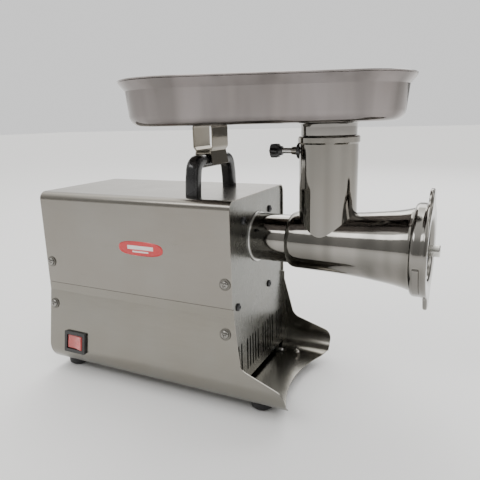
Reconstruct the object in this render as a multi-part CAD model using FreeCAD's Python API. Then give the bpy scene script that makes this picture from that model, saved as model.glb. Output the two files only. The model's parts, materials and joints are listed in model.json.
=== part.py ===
import FreeCAD, Part
import math
import os

# Electric meat grinder, size 12, with a sheet steel body, a cast grinding head and a feed tray.
# Machine frame while modelling: x runs from the rear edge of the body to the outlet, y = 0 is the
# head's axis, z = 0 is the table.  save() moves everything so that the origin is the centre of the
# bottom of the object's box.

# ---- driving dimensions, mm ----
SHEET = 1.2                    # cover and base sheet thickness
GAP = 0.3                      # standard gap between pieces that only lie beside each other
RUN = 0.05                     # radial running clearance of a shaft in its hole

# body
BODY_LENGTH = 255.0
BODY_WIDTH = 146.0
BODY_TOP = 226.0
COVER_BEND = 9.0
SEAM_Z = 114.0
FLARE_TOP_Z = 104.0            # the base's walls lean outwards below this height
FLARE = 11.0
BASE_BEND = 24.0
FLOOR_Z = 9.7                  # underside of the base's floor
NOSE_LENGTH = 60.7             # how far the base runs out in front of the cover
NOSE_WALL_Z = 52.9             # height where the side wall turns into the nose
NOSE_TIP_Z = 35.4
APRON_DEPTH = 19.0             # how far the floor's front edge is set back at the middle
APRON_R = 159.0

# feet
FOOT_R = 12.7
FOOT_STEP = 3.0
FOOT_PAD = 2.0
FOOT_Y = 55.0
FOOT_REAR_X = 17.5
FOOT_FRONT_X = 279.5
FOOT_BOLT_R = 2.5

# panels
PANEL = 1.5
PANEL_INSET = 2.0
PANEL_BOTTOM_Z = 16.8
FLANGE = 11.0
FLANGE_LOW_Z = 78.0
SIDE_SCREW_X = 7.5             # distance of the side screws from each end of the body
SIDE_SCREW_Z = (140.5, 87.0)
SCREW_R = 2.0
SCREW_HEAD_R = 4.4
SCREW_HEAD = 2.4
WASHER_R = 6.4
WASHER = 1.0
SLOT_PITCH = 7.3
SLOT_W = 3.0
SLOT_LOW_Z = 28.0
SLOT_HIGH_Z = 66.0
SLOT_GROUPS = ((-56.6, 3), (-19.8, 5), (24.1, 5), (60.9, 3))
TAB_Y = 56.0
TAB_W = 8.0
TAB_REACH = 10.0
TAB_SCREW_R = 2.0

# badge and switch
BADGE_X = 143.8
BADGE_Z = 168.8
BADGE_L = 60.0
BADGE_H = 17.0
BADGE_T = 0.8
SWITCH_X = 42.7
SWITCH_Z = 43.6
BEZEL_L = 32.0
BEZEL_H = 26.0
BEZEL_T = 3.0
SWITCH_BODY_L = 28.6
SWITCH_BODY_H = 21.4
SWITCH_WELL = 9.0
SWITCH_BODY_DEPTH = 26.0
ROCKER_L = 23.0
ROCKER_H = 17.0
ROCKER_TILT = 8.0
ROCKER_GAP = 0.9
ROCKER_PIN_R = 1.6
ROCKER_PIN_OUT = 1.2

# handle and tray support
HANDLE_X = 196.5
HANDLE_SPAN = 84.0
HANDLE_TOP_Z = 267.8
HANDLE_BAR = 12.3
HANDLE_DEPTH = 15.6
HANDLE_LEG = 15.6
SUPPORT_W = 36.0
SUPPORT_HALF = 12.5
SUPPORT_PINCH = 9.4
SUPPORT_FLARE = 12.6
SUPPORT_T = 1.5
SUPPORT_BEND_Z = 275.4
SUPPORT_PINCH_Z = 271.6
SUPPORT_END_Z = 256.0

# grinding head
HEAD_Z = 176.0
SHANK_R = 26.2
SHANK_BORE_R = 16.0
SHANK_START_X = 224.0
SHOULDER_X = 293.8
BARREL_R = 31.0
BARREL_MID_R = 33.2
BARREL_FLARE_X = 392.0
BARREL_FLARE_R = 35.8
BARREL_END_R = 40.6
BARREL_END_X = 430.0
BARREL_BORE_R = 26.5
SEAT_R = 35.0                  # the recess that holds the hole plate
SEAT_DEPTH = 14.5
TUBE_X = 332.6
TUBE_R = 29.6
TUBE_WALL = 3.6
TUBE_TOP_Z = 286.0
BEAD_H = 7.0
BEAD_OUT = 1.4

# worm, knife, plate, ring
FLIGHT_R = 25.7
FLIGHT_PITCH = 34.0
FLIGHT_T = 7.0
WORM_ROOT_R = 13.0
WORM_END_X = 415.0
WORM_COLLAR = 10.0
WORM_TAIL = 16.6               # side of the square drive tail
WORM_TAIL_X = 208.0
JOURNAL_R = 12.0
KNIFE_SQUARE = 11.4
PIN_R = 5.9
PIN_END_X = 444.0
KNIFE_T = 7.4
KNIFE_R = 33.5
PLATE_T = 7.2
PLATE_HOLE_R = 2.6
PLATE_RING_R = (11.5, 18.0, 24.5)
PLATE_RING_N = (10, 16, 22)
RING_BACK_X = 419.7
RING_R = 46.3
RING_LIP = 4.8
RING_LIP_R = 30.0
LUG_TIP_R = 60.5
LUG_W = 20.0
LUG_T = 5.0
PAD_OUT = 1.3

# tray
TRAY_TURN = 22.0               # degrees that the tray stands turned about its spout
TRAY_LENGTH = 274.0
TRAY_WIDTH = 184.0
TRAY_CORNER = 61.0
TRAY_OFFSET = 63.0             # from the spout's axis back to the tray's middle
TRAY_FLOOR_Z = 299.4
TRAY_HEIGHT = 41.3
TRAY_SHEET = 1.0
TRAY_RIM = 5.5
TRAY_DRAFT = 4.0
TRAY_BEND = 9.0
SPOUT_WALL = 1.6
SPOUT_DROP = 24.0
COLLAR_R = 28.0

# lock screws
TRAY_LOCK_Z = 270.8
TRAY_BOSS_L = 9.5
TRAY_BOSS_R = 5.2
LOCK_STUD_R = 3.0
TRAY_KNOB_R = 8.2
TRAY_KNOB_L = 13.0
TRAY_KNOB_GAP = 10.5
HEAD_LOCK_X = 232.0
HEAD_KNOB_R = 13.0
HEAD_KNOB_L = 14.0

# gearbox and motor
HUB_R = 33.0
HUB_OUT = 1.8
HUB_NECK_R = 28.6
CHAMBER_REAR_X = 148.0
CHAMBER_FRONT_X = 186.0
CASE_WALL = 4.0
CASE_FRONT = 6.0
CASE_COVER = 13.0
GEAR_ROOM = 2.0
STAGE2_MODULE = 2.0
STAGE2_TEETH = (14, 33)        # intermediate pinion, output gear
STAGE1_MODULE = 1.5
STAGE1_TEETH = (15, 42)        # motor pinion, intermediate gear
MIDDLE_Y = -20.0
STAGE2_X = (166.0, 183.0)
STAGE1_X = (151.0, 163.0)
BACKLASH = 0.3
BEARING_OD = (47.0, 35.0, 40.0)       # output, intermediate, motor
BEARING_ID = (20.0, 15.0, 17.0)
BEARING_W = (14.0, 11.0, 12.0)
SOCKET_R = 15.0
SEAL_W = 6.0
POSTS = ((-37.7, 200.4), (32.6, 201.5), (-55.6, 110.7), (28.6, 110.7))
POST_R = 5.5
POST_BOLT_R = 2.5
STATOR_R = 52.0
STATOR_X = (46.0, 110.0)
ROTOR_R = 28.0
FAN_R = 40.0
FAN_X = (14.0, 26.0)
FAN_BLADES = 9
CAPACITOR_R = 17.5
CAPACITOR_L = 68.0
CRADLE_X = (56.0, 104.0)
CRADLE_WALL = 3.0
CRADLE_HALF = 40.0
CRADLE_SCREWS = ((62.0, -34.0), (98.0, -34.0), (62.0, 34.0), (98.0, 34.0))

# cable inlet
GLAND_R = 8.0
GLAND_BORE_R = 4.2
GLAND_OUT = 12.0
GLAND_Y = 40.0
GLAND_Z = 52.0

# ---- derived sizes ----
HALF = BODY_WIDTH / 2
FRONT_X = BODY_LENGTH - PANEL_INSET            # outer face of the front panel
PANEL_BACK_X = FRONT_X - PANEL
REAR_X = PANEL_INSET - 1.0                     # outer face of the rear panel
NOSE_X = BODY_LENGTH + NOSE_LENGTH
FLOOR_TOP = FLOOR_Z + SHEET
STAGE2_DISTANCE = STAGE2_MODULE * sum(STAGE2_TEETH) / 2
STAGE1_DISTANCE = STAGE1_MODULE * sum(STAGE1_TEETH) / 2
MIDDLE_Z = HEAD_Z - math.sqrt(STAGE2_DISTANCE ** 2 - MIDDLE_Y ** 2)
MOTOR_Z = MIDDLE_Z - math.sqrt(STAGE1_DISTANCE ** 2 - MIDDLE_Y ** 2)
TRAY_RIM_Z = TRAY_FLOOR_Z + TRAY_HEIGHT
SPOUT_R = TUBE_R - TUBE_WALL - GAP
SPOUT_BORE_R = SPOUT_R - SPOUT_WALL
SEAT_X = BARREL_END_X - SEAT_DEPTH
KNIFE_X = SEAT_X + 0.6
PLATE_X = KNIFE_X + KNIFE_T + 0.3
PLATE_FRONT_X = PLATE_X + PLATE_T
RING_FRONT_X = PLATE_FRONT_X + 0.2 + RING_LIP
BELL_FRONT_X = CHAMBER_REAR_X - CASE_COVER
HUB_SEAL_X = CHAMBER_FRONT_X + BEARING_W[0] + 1.4
BELL_REAR_X = FAN_X[1] + 2.0


def tray_support_function(angle):
    """Distance from the tray's middle to its outline in one direction of the machine frame."""
    local = angle - math.radians(TRAY_TURN)
    straight_x = (TRAY_LENGTH / 2 - TRAY_CORNER) * abs(math.cos(local))
    straight_y = (TRAY_WIDTH / 2 - TRAY_CORNER) * abs(math.sin(local))
    return straight_x + straight_y + TRAY_CORNER


TRAY_MID_X = TUBE_X - TRAY_OFFSET * math.cos(math.radians(TRAY_TURN))
TRAY_MID_Y = -TRAY_OFFSET * math.sin(math.radians(TRAY_TURN))
REAR_END_X = REAR_X - GLAND_OUT
ORIGIN_X = (REAR_END_X + PIN_END_X) / 2
ORIGIN_Y = TRAY_MID_Y

os.makedirs("parts", exist_ok=True)


# ---- helpers ----
def vec(x, y, z):
    return FreeCAD.Vector(x, y, z)


def save(name, shape):
    """Move a finished piece into the object's frame and write it."""
    moved = shape.copy()
    moved.translate(vec(-ORIGIN_X, -ORIGIN_Y, 0))
    moved.exportStep("parts/" + name + ".step")


def block(x0, x1, y0, y1, z0, z1):
    return Part.makeBox(x1 - x0, y1 - y0, z1 - z0, vec(x0, y0, z0))


def rod_x(x0, x1, y, z, r):
    return Part.makeCylinder(r, x1 - x0, vec(x0, y, z), vec(1, 0, 0))


def rod_y(y0, y1, x, z, r):
    return Part.makeCylinder(r, y1 - y0, vec(x, y0, z), vec(0, 1, 0))


def rod_z(z0, z1, x, y, r):
    return Part.makeCylinder(r, z1 - z0, vec(x, y, z0), vec(0, 0, 1))


def tube_x(x0, x1, y, z, outer, inner):
    return rod_x(x0, x1, y, z, outer).cut(rod_x(x0 - 1, x1 + 1, y, z, inner))


def fuse(shapes):
    joined = shapes[0]
    for shape in shapes[1:]:
        joined = joined.fuse(shape)
    return joined.removeSplitter()


def group(shapes):
    return Part.makeCompound(shapes)


def rounded_outline(points):
    """Closed outline through (u, v, radius) corners: straight runs joined by tangent arcs.

    Returns the edges' data as ('line', a, b) and ('arc', a, middle, b) tuples.
    """
    runs = []
    count = len(points)
    ends = []
    for i in range(count):
        px, py, _ = points[i - 1]
        cx, cy, radius = points[i]
        nx, ny, _ = points[(i + 1) % count]
        back = (px - cx, py - cy)
        ahead = (nx - cx, ny - cy)
        back_len = math.hypot(*back)
        ahead_len = math.hypot(*ahead)
        ub = (back[0] / back_len, back[1] / back_len)
        ua = (ahead[0] / ahead_len, ahead[1] / ahead_len)
        if radius <= 0:
            ends.append(((cx, cy), None, (cx, cy)))
            continue
        half = math.acos(max(-1.0, min(1.0, ub[0] * ua[0] + ub[1] * ua[1]))) / 2
        reach = radius / math.tan(half)
        start = (cx + ub[0] * reach, cy + ub[1] * reach)
        stop = (cx + ua[0] * reach, cy + ua[1] * reach)
        mid_dir = (ub[0] + ua[0], ub[1] + ua[1])
        mid_len = math.hypot(*mid_dir)
        dip = radius / math.sin(half) - radius
        middle = (cx + mid_dir[0] / mid_len * dip, cy + mid_dir[1] / mid_len * dip)
        ends.append((start, middle, stop))
    for i in range(count):
        start, middle, stop = ends[i]
        if middle is not None:
            runs.append(("arc", start, middle, stop))
        following = ends[(i + 1) % count][0]
        if math.hypot(following[0] - stop[0], following[1] - stop[1]) > 1e-6:
            runs.append(("line", stop, following))
    return runs


def outline_wire(runs, place):
    """Wire of an outline, with place(u, v) giving the point in space."""
    edges = []
    for run in runs:
        if run[0] == "line":
            edges.append(Part.makeLine(place(*run[1]), place(*run[2])))
        else:
            edges.append(Part.Arc(place(*run[1]), place(*run[2]), place(*run[3])).toShape())
    return Part.Wire(Part.__sortEdges__(edges))


def extruded(points, place, direction):
    """Prism of a rounded outline."""
    wire = outline_wire(rounded_outline(points), place)
    return Part.Face(wire).extrude(direction)


def side_view(points, y0, y1):
    """Prism of an outline drawn in x and z, from y0 to y1."""
    return extruded(points, lambda u, v: vec(u, y0, v), vec(0, y1 - y0, 0))


def front_view(points, x0, x1):
    """Prism of an outline drawn in y and z, from x0 to x1."""
    return extruded(points, lambda u, v: vec(x0, u, v), vec(x1 - x0, 0, 0))


def plan_view(points, z0, z1):
    """Prism of an outline drawn in x and y, from z0 to z1."""
    return extruded(points, lambda u, v: vec(u, v, z0), vec(0, 0, z1 - z0))


def turned(profile, axis_y, axis_z):
    """Solid of revolution about the x direction; profile holds (x, radius) points."""
    points = [vec(x, axis_y, axis_z + r) for x, r in profile]
    points.append(points[0])
    face = Part.Face(Part.makePolygon(points))
    return face.revolve(vec(0, axis_y, axis_z), vec(1, 0, 0), 360)


def turned_z(profile, x, y):
    """Solid of revolution about a vertical axis; profile holds (radius, z) points."""
    points = [vec(x + r, y, z) for r, z in profile]
    points.append(points[0])
    face = Part.Face(Part.makePolygon(points))
    return face.revolve(vec(x, y, 0), vec(0, 0, 1), 360)


def rectangle(u0, u1, v0, v1, radius):
    return [(u0, v0, radius), (u1, v0, radius), (u1, v1, radius), (u0, v1, radius)]


# ---- body shell ----
def flare_corner(inset):
    """The leaning wall's tangent point on the base's bend, and the bend's middle point."""
    centre = (HALF + FLARE - BASE_BEND, FLOOR_Z + BASE_BEND)
    radius = BASE_BEND - inset
    top = (HALF - inset, FLARE_TOP_Z)
    away = math.hypot(top[0] - centre[0], top[1] - centre[1])
    lean = math.atan2(top[1] - centre[1], top[0] - centre[0]) - math.acos(radius / away)
    touch = (centre[0] + radius * math.cos(lean), centre[1] + radius * math.sin(lean))
    half_turn = (lean - math.pi / 2) / 2
    middle = (centre[0] + radius * math.cos(half_turn), centre[1] + radius * math.sin(half_turn))
    return top, touch, middle, (centre[0], centre[1] - radius)


def wall_at(z):
    """Half width of the outer wall at one height, and its lean in degrees."""
    top, touch, _, _ = flare_corner(0)
    if z >= FLARE_TOP_Z:
        return HALF, 0.0
    share = (FLARE_TOP_Z - z) / (top[1] - touch[1])
    lean = math.degrees(math.atan2(touch[0] - top[0], top[1] - touch[1]))
    return HALF + share * (touch[0] - top[0]), lean


def lean_near(shape):
    """Lean a piece drawn upright at the near wall, so that it lies on that wall at the switch."""
    half, lean = wall_at(SWITCH_Z)
    shape.rotate(vec(0, -half, SWITCH_Z), vec(1, 0, 0), -lean)
    return shape


def section_wire(inset, top_z, x, closed_top_bend):
    """Cross-section of the body inside its sheet, as one closed wire in the plane x."""
    top, touch, middle, floor = flare_corner(inset)
    edges = []
    for s in (1, -1):
        edges.append(Part.makeLine(vec(x, s * top[0], top[1]), vec(x, s * touch[0], touch[1])))
        edges.append(Part.Arc(vec(x, s * touch[0], touch[1]), vec(x, s * middle[0], middle[1]),
                              vec(x, s * floor[0], floor[1])).toShape())
        corner_z = top_z - closed_top_bend
        edges.append(Part.makeLine(vec(x, s * top[0], top[1]), vec(x, s * top[0], corner_z)))
        if closed_top_bend > 0:
            share = closed_top_bend * (1 - math.sqrt(0.5))
            edges.append(Part.Arc(vec(x, s * top[0], corner_z),
                                  vec(x, s * (top[0] - share), top_z - share),
                                  vec(x, s * (top[0] - closed_top_bend), top_z)).toShape())
    edges.append(Part.makeLine(vec(x, -floor[0], floor[1]), vec(x, floor[0], floor[1])))
    across = top[0] - closed_top_bend
    edges.append(Part.makeLine(vec(x, -across, top_z), vec(x, across, top_z)))
    return Part.Wire(Part.__sortEdges__(edges))


def section_solid(inset, top_z, bend, x0, x1):
    return Part.Face(section_wire(inset, top_z, x0, bend)).extrude(vec(x1 - x0, 0, 0))


def side_hole_cutters(z_list, radius):
    cutters = []
    for z in z_list:
        for x in (SIDE_SCREW_X, BODY_LENGTH - SIDE_SCREW_X):
            for s in (1, -1):
                half, lean = wall_at(z)
                hole = rod_y(half - 30, half + 10, x, z, radius)
                hole.rotate(vec(x, half, z), vec(1, 0, 0), lean)
                if s < 0:
                    hole = hole.mirror(vec(0, 0, 0), vec(0, 1, 0))
                cutters.append(hole)
    return cutters


def make_base():
    """U-shaped base sheet: leaning side walls, floor, and a nose that runs out under the head."""
    outer = section_solid(0, SEAM_Z, 0, 0, NOSE_X)
    inner = section_solid(SHEET, SEAM_Z + 1, 0, -1, NOSE_X + 1)
    base = outer.cut(inner)
    front_edge = [(BODY_LENGTH + 1.5, SEAM_Z + 5, 0), (BODY_LENGTH + 1.5, FLARE_TOP_Z, 0),
                  (BODY_LENGTH + 11.5, NOSE_WALL_Z, 12), (NOSE_X, NOSE_TIP_Z, 13),
                  (NOSE_X, -5, 0), (NOSE_X + 60, -5, 0), (NOSE_X + 60, SEAM_Z + 5, 0)]
    base = base.cut(side_view(front_edge, -HALF - 40, HALF + 40))
    scoop_x = NOSE_X - APRON_DEPTH + APRON_R
    scoop = rod_z(0, FLOOR_Z + BASE_BEND, scoop_x, 0, APRON_R)
    base = base.cut(scoop.common(block(0, NOSE_X + 10, -HALF, HALF, 0, FLOOR_Z + BASE_BEND)))
    for x in (FOOT_REAR_X, FOOT_FRONT_X):
        for y in (-FOOT_Y, FOOT_Y):
            base = base.cut(rod_z(0, 30, x, y, FOOT_BOLT_R + RUN))
    for y in (-TAB_Y, TAB_Y):
        base = base.cut(rod_z(0, 30, FRONT_X + TAB_REACH / 2, y, TAB_SCREW_R))
    for cutter in side_hole_cutters(SIDE_SCREW_Z[1:], SCREW_R + RUN):
        base = base.cut(cutter)
    half, _ = wall_at(SWITCH_Z)
    opening = block(SWITCH_X - SWITCH_BODY_L / 2 - 0.2, SWITCH_X + SWITCH_BODY_L / 2 + 0.2,
                    -half - 20, -half + 20,
                    SWITCH_Z - SWITCH_BODY_H / 2 - 0.2, SWITCH_Z + SWITCH_BODY_H / 2 + 0.2)
    base = base.cut(lean_near(opening))
    for x, y in CRADLE_SCREWS:
        base = base.cut(rod_z(0, 30, x, y, SCREW_R + RUN))
    save("base_tray", base)


def make_cover():
    """Inverted U of polished sheet: top and two sides, open at both ends."""
    low_z = SEAM_Z + 0.4
    outer = section_solid(0, BODY_TOP, COVER_BEND, 0, BODY_LENGTH)
    inner = section_solid(SHEET, BODY_TOP - SHEET, COVER_BEND - SHEET, -1, BODY_LENGTH + 1)
    cover = outer.cut(inner).common(block(-1, BODY_LENGTH + 1, -HALF, HALF, low_z, BODY_TOP))
    for cutter in side_hole_cutters(SIDE_SCREW_Z[:1], SCREW_R + RUN):
        cover = cover.cut(cutter)
    for s in (1, -1):
        cover = cover.cut(rod_z(BODY_TOP - 5, BODY_TOP + 5, HANDLE_X, s * HANDLE_SPAN / 2, 2.6))
    cover = cover.cut(rod_y(0, HALF + 5, HEAD_LOCK_X, HEAD_Z, LOCK_STUD_R + 1.0))
    save("top_cover", cover)


def panel_plate(x0, x1, flange_x0, flange_x1):
    """End plate inside the shell, with a flange that follows the side walls."""
    inset = SHEET + GAP
    top = BODY_TOP - inset
    bend = COVER_BEND - inset
    low = block(-50, BODY_LENGTH + 50, -HALF - 40, HALF + 40, -10, PANEL_BOTTOM_Z)
    plate = section_solid(inset, top, bend, x0, x1).cut(low)
    outer = section_solid(inset, top, bend, flange_x0, flange_x1)
    inner = section_solid(inset + PANEL, top - PANEL, bend - PANEL, flange_x0 - 1, flange_x1 + 1)
    window = block(-50, BODY_LENGTH + 50, -HALF - 40, HALF + 40, FLANGE_LOW_Z, BODY_TOP - COVER_BEND)
    flange = outer.cut(inner).common(window)
    return plate.fuse(flange).removeSplitter()


def slot(y, z0, z1, x0, x1):
    points = rectangle(y - SLOT_W / 2, y + SLOT_W / 2, z0, z1, SLOT_W / 2 - 0.01)
    return front_view(points, x0, x1)


def make_front_panel():
    """Front plate with the hub's hole, four bolt holes and ventilation slots."""
    panel = panel_plate(PANEL_BACK_X, FRONT_X, PANEL_BACK_X - FLANGE, PANEL_BACK_X)
    panel = panel.cut(rod_x(PANEL_BACK_X - 5, FRONT_X + 5, 0, HEAD_Z, HUB_NECK_R + GAP))
    for y, z in POSTS:
        panel = panel.cut(rod_x(PANEL_BACK_X - 5, FRONT_X + 5, y, z, POST_BOLT_R + 0.2))
    for centre, number in SLOT_GROUPS:
        for i in range(number):
            y = centre + (i - (number - 1) / 2) * SLOT_PITCH
            panel = panel.cut(slot(y, SLOT_LOW_Z, SLOT_HIGH_Z, PANEL_BACK_X - 5, FRONT_X + 5))
    for cutter in side_hole_cutters(SIDE_SCREW_Z, SCREW_R + RUN):
        panel = panel.cut(cutter)
    for y in (-TAB_Y, TAB_Y):
        leg = block(PANEL_BACK_X, FRONT_X, y - TAB_W / 2, y + TAB_W / 2, FLOOR_TOP, PANEL_BOTTOM_Z + 1)
        foot = block(PANEL_BACK_X, FRONT_X + TAB_REACH, y - TAB_W / 2, y + TAB_W / 2,
                     FLOOR_TOP, FLOOR_TOP + PANEL)
        tab = leg.fuse(foot).cut(rod_z(0, 30, FRONT_X + TAB_REACH / 2, y, TAB_SCREW_R + RUN))
        panel = panel.fuse(tab)
    save("front_panel", panel.removeSplitter())


def make_rear_panel():
    """Rear plate with the fan's slots and the cable inlet's hole."""
    panel = panel_plate(REAR_X, REAR_X + PANEL, REAR_X + PANEL, REAR_X + PANEL + FLANGE)
    for i in range(9):
        y = (i - 4) * SLOT_PITCH
        panel = panel.cut(slot(y, MOTOR_Z - 20, MOTOR_Z + 20, REAR_X - 5, REAR_X + 10))
    for cutter in side_hole_cutters(SIDE_SCREW_Z, SCREW_R + RUN):
        panel = panel.cut(cutter)
    panel = panel.cut(rod_x(REAR_X - 5, REAR_X + 10, GLAND_Y, GLAND_Z, GLAND_R - 2))
    save("rear_panel", panel)


def dome(x, y, z, radius, height, direction):
    """Pan head: a flat cylinder with a rounded crown, its seat at the given point."""
    lower = Part.makeCylinder(radius, height * 0.55, vec(0, 0, 0), vec(0, 0, 1))
    upper = Part.makeCone(radius, radius * 0.6, height * 0.45, vec(0, 0, height * 0.55), vec(0, 0, 1))
    head = lower.fuse(upper).removeSplitter()
    head.Placement = FreeCAD.Placement(vec(x, y, z), FreeCAD.Rotation(vec(0, 0, 1), direction))
    return head


def make_side_screws():
    """Eight pan-head screws and their washers through the walls into the panels' flanges."""
    screws = []
    washers = []
    for z in SIDE_SCREW_Z:
        for x in (SIDE_SCREW_X, BODY_LENGTH - SIDE_SCREW_X):
            for s in (1, -1):
                half, lean = wall_at(z)
                washer = rod_y(half + 0.02, half + 0.02 + WASHER, x, z, WASHER_R)
                washer = washer.cut(rod_y(half - 2, half + 5, x, z, SCREW_R + RUN))
                head = dome(x, half + 0.02 + WASHER, z, SCREW_HEAD_R, SCREW_HEAD, vec(0, 1, 0))
                slot_cut = block(x - 3.2, x + 3.2, half + WASHER + SCREW_HEAD - 0.8,
                                 half + WASHER + 5, z - 0.5, z + 0.5)
                cross_cut = block(x - 0.5, x + 0.5, half + WASHER + SCREW_HEAD - 0.8,
                                  half + WASHER + 5, z - 3.2, z + 3.2)
                shank = rod_y(half - 8, half + WASHER + 0.1, x, z, SCREW_R)
                screw = head.fuse(shank).removeSplitter().cut(slot_cut).cut(cross_cut)
                for piece, store in ((washer, washers), (screw, screws)):
                    piece.rotate(vec(x, half, z), vec(1, 0, 0), lean)
                    if s < 0:
                        piece = piece.mirror(vec(0, 0, 0), vec(0, 1, 0))
                    store.append(piece)
    save("side_screws", group(screws))
    save("side_washers", group(washers))


def make_badge():
    """Blank name plate with rounded corners on the near side."""
    points = rectangle(BADGE_X - BADGE_L / 2, BADGE_X + BADGE_L / 2,
                       BADGE_Z - BADGE_H / 2, BADGE_Z + BADGE_H / 2, BADGE_H / 2 - 0.1)
    save("badge_plate", side_view(points, -HALF - BADGE_T, -HALF))


def make_feet():
    """Four rubber feet, their bolts from below and the dome nuts above the floor."""
    feet = []
    bolts = []
    nuts = []
    for x in (FOOT_REAR_X, FOOT_FRONT_X):
        for y in (-FOOT_Y, FOOT_Y):
            foot = turned_z([(0, 0), (FOOT_R - 2, 0), (FOOT_R - 1, 1), (FOOT_R, FOOT_STEP),
                             (FOOT_R, FLOOR_Z - 0.8), (FOOT_R - 0.8, FLOOR_Z), (0, FLOOR_Z)], x, y)
            foot = foot.cut(rod_z(-1, FOOT_PAD + 2, x, y, 5.0)).cut(rod_z(-1, 20, x, y, FOOT_BOLT_R))
            feet.append(foot)
            bolts.append(fuse([rod_z(FOOT_PAD, FOOT_PAD + 2, x, y, 4.6),
                               rod_z(FOOT_PAD, FLOOR_TOP + 5, x, y, FOOT_BOLT_R)]))
            hexagon = Part.makePolygon([vec(x + 4.6 * math.cos(math.radians(60 * k)),
                                            y + 4.6 * math.sin(math.radians(60 * k)),
                                            FLOOR_TOP) for k in range(7)])
            nut = Part.Face(hexagon).extrude(vec(0, 0, 3.2))
            cap = turned_z([(0, 3.2), (3.9, 3.2), (3.4, 5.0), (1.8, 6.6), (0, 7.0)], x, y)
            cap.translate(vec(0, 0, FLOOR_TOP))
            nut = nut.fuse(cap).removeSplitter()
            nuts.append(nut.cut(rod_z(FLOOR_TOP - 1, FLOOR_TOP + 5, x, y, FOOT_BOLT_R)))
    save("rubber_feet", group(feet))
    save("foot_bolts", group(bolts))
    save("dome_nuts", group(nuts))



def make_tab_screws():
    """Two small screws that hold the front panel's tabs to the floor."""
    screws = []
    for y in (-TAB_Y, TAB_Y):
        seat = FLOOR_TOP + PANEL
        x = FRONT_X + TAB_REACH / 2
        head = dome(x, y, seat, 3.4, 2.0, vec(0, 0, 1))
        screws.append(head.fuse(rod_z(FLOOR_Z - 2, seat, x, y, TAB_SCREW_R)).removeSplitter())
    save("tab_screws", group(screws))


def make_panel_bolts():
    """Four dark button-head bolts through the front panel into the gearbox posts."""
    bolts = []
    for y, z in POSTS:
        head = dome(FRONT_X, y, z, 4.2, 2.4, vec(1, 0, 0))
        shank = rod_x(PANEL_BACK_X - 12, FRONT_X, y, z, POST_BOLT_R)
        socket = rod_x(FRONT_X + 1.2, FRONT_X + 5, y, z, 1.7)
        bolts.append(head.fuse(shank).removeSplitter().cut(socket))
    save("panel_bolts", group(bolts))


# ---- switch ----
def make_switch():
    """Rocker switch on the leaning wall: housing with its bezel and terminals, and the rocker."""
    half_wall, _ = wall_at(SWITCH_Z)
    seat = -half_wall
    bezel = side_view(rectangle(SWITCH_X - BEZEL_L / 2, SWITCH_X + BEZEL_L / 2,
                                SWITCH_Z - BEZEL_H / 2, SWITCH_Z + BEZEL_H / 2, 1.5),
                      seat - BEZEL_T, seat)
    body = block(SWITCH_X - SWITCH_BODY_L / 2, SWITCH_X + SWITCH_BODY_L / 2, seat,
                 seat + SWITCH_BODY_DEPTH, SWITCH_Z - SWITCH_BODY_H / 2, SWITCH_Z + SWITCH_BODY_H / 2)
    well = block(SWITCH_X - ROCKER_L / 2 - ROCKER_GAP, SWITCH_X + ROCKER_L / 2 + ROCKER_GAP,
                 seat - BEZEL_T - 1, seat + SWITCH_WELL, SWITCH_Z - ROCKER_H / 2 - 0.3,
                 SWITCH_Z + ROCKER_H / 2 + 0.3)
    tabs = [block(SWITCH_X + d - 0.5, SWITCH_X + d + 0.5, seat + SWITCH_BODY_DEPTH,
                  seat + SWITCH_BODY_DEPTH + 7, SWITCH_Z - 3, SWITCH_Z + 3) for d in (-9, 0, 9)]
    pivot_y = seat + 2.0
    pin_reach = ROCKER_H / 2 + ROCKER_PIN_OUT
    sockets = rod_z(SWITCH_Z - pin_reach - 0.2, SWITCH_Z + pin_reach + 0.2, SWITCH_X, pivot_y,
                    ROCKER_PIN_R + 0.1)
    save("switch_housing", lean_near(fuse([bezel, body] + tabs).cut(well).cut(sockets)))
    face_y = seat - BEZEL_T
    half = ROCKER_L / 2
    outline = [(SWITCH_X - half, pivot_y + 1.0, 0), (SWITCH_X - half, face_y - 0.2, 0),
               (SWITCH_X, face_y + 1.4, 40), (SWITCH_X + half, face_y - 0.2, 0),
               (SWITCH_X + half, pivot_y + 1.0, 0), (SWITCH_X, pivot_y + 4.0, 0)]
    rocker = plan_view(outline, SWITCH_Z - ROCKER_H / 2, SWITCH_Z + ROCKER_H / 2)
    pins = rod_z(SWITCH_Z - pin_reach, SWITCH_Z + pin_reach, SWITCH_X, pivot_y, ROCKER_PIN_R)
    rocker = rocker.fuse(pins).removeSplitter()
    rocker.rotate(vec(SWITCH_X, pivot_y, SWITCH_Z), vec(0, 0, 1), -ROCKER_TILT)
    save("switch_rocker", lean_near(rocker))


# ---- handle and tray support ----
def make_handle():
    """Moulded arch handle across the cover, with two screws from inside."""
    outer_half = (HANDLE_SPAN + HANDLE_LEG) / 2
    inner_half = (HANDLE_SPAN - HANDLE_LEG) / 2
    base = BODY_TOP + 0.02
    outer = front_view([(-outer_half, base, 0), (outer_half, base, 0),
                        (outer_half - 3, HANDLE_TOP_Z, 14), (-outer_half + 3, HANDLE_TOP_Z, 14)],
                       HANDLE_X - HANDLE_DEPTH / 2, HANDLE_X + HANDLE_DEPTH / 2)
    gap = front_view([(-inner_half, base - 5, 0), (inner_half, base - 5, 0),
                      (inner_half, HANDLE_TOP_Z - HANDLE_BAR, 8),
                      (-inner_half, HANDLE_TOP_Z - HANDLE_BAR, 8)],
                     HANDLE_X - HANDLE_DEPTH, HANDLE_X + HANDLE_DEPTH)
    handle = outer.cut(gap)
    screws = []
    for s in (1, -1):
        y = s * HANDLE_SPAN / 2
        handle = handle.cut(rod_z(base - 5, base + 14, HANDLE_X, y, 2.5))
        under = BODY_TOP - SHEET
        head = dome(HANDLE_X, y, under, 4.6, 2.6, vec(0, 0, -1))
        screws.append(head.fuse(rod_z(under, base + 13, HANDLE_X, y, 2.5)).removeSplitter())
    save("carry_handle", handle)
    save("handle_screws", group(screws))


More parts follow.
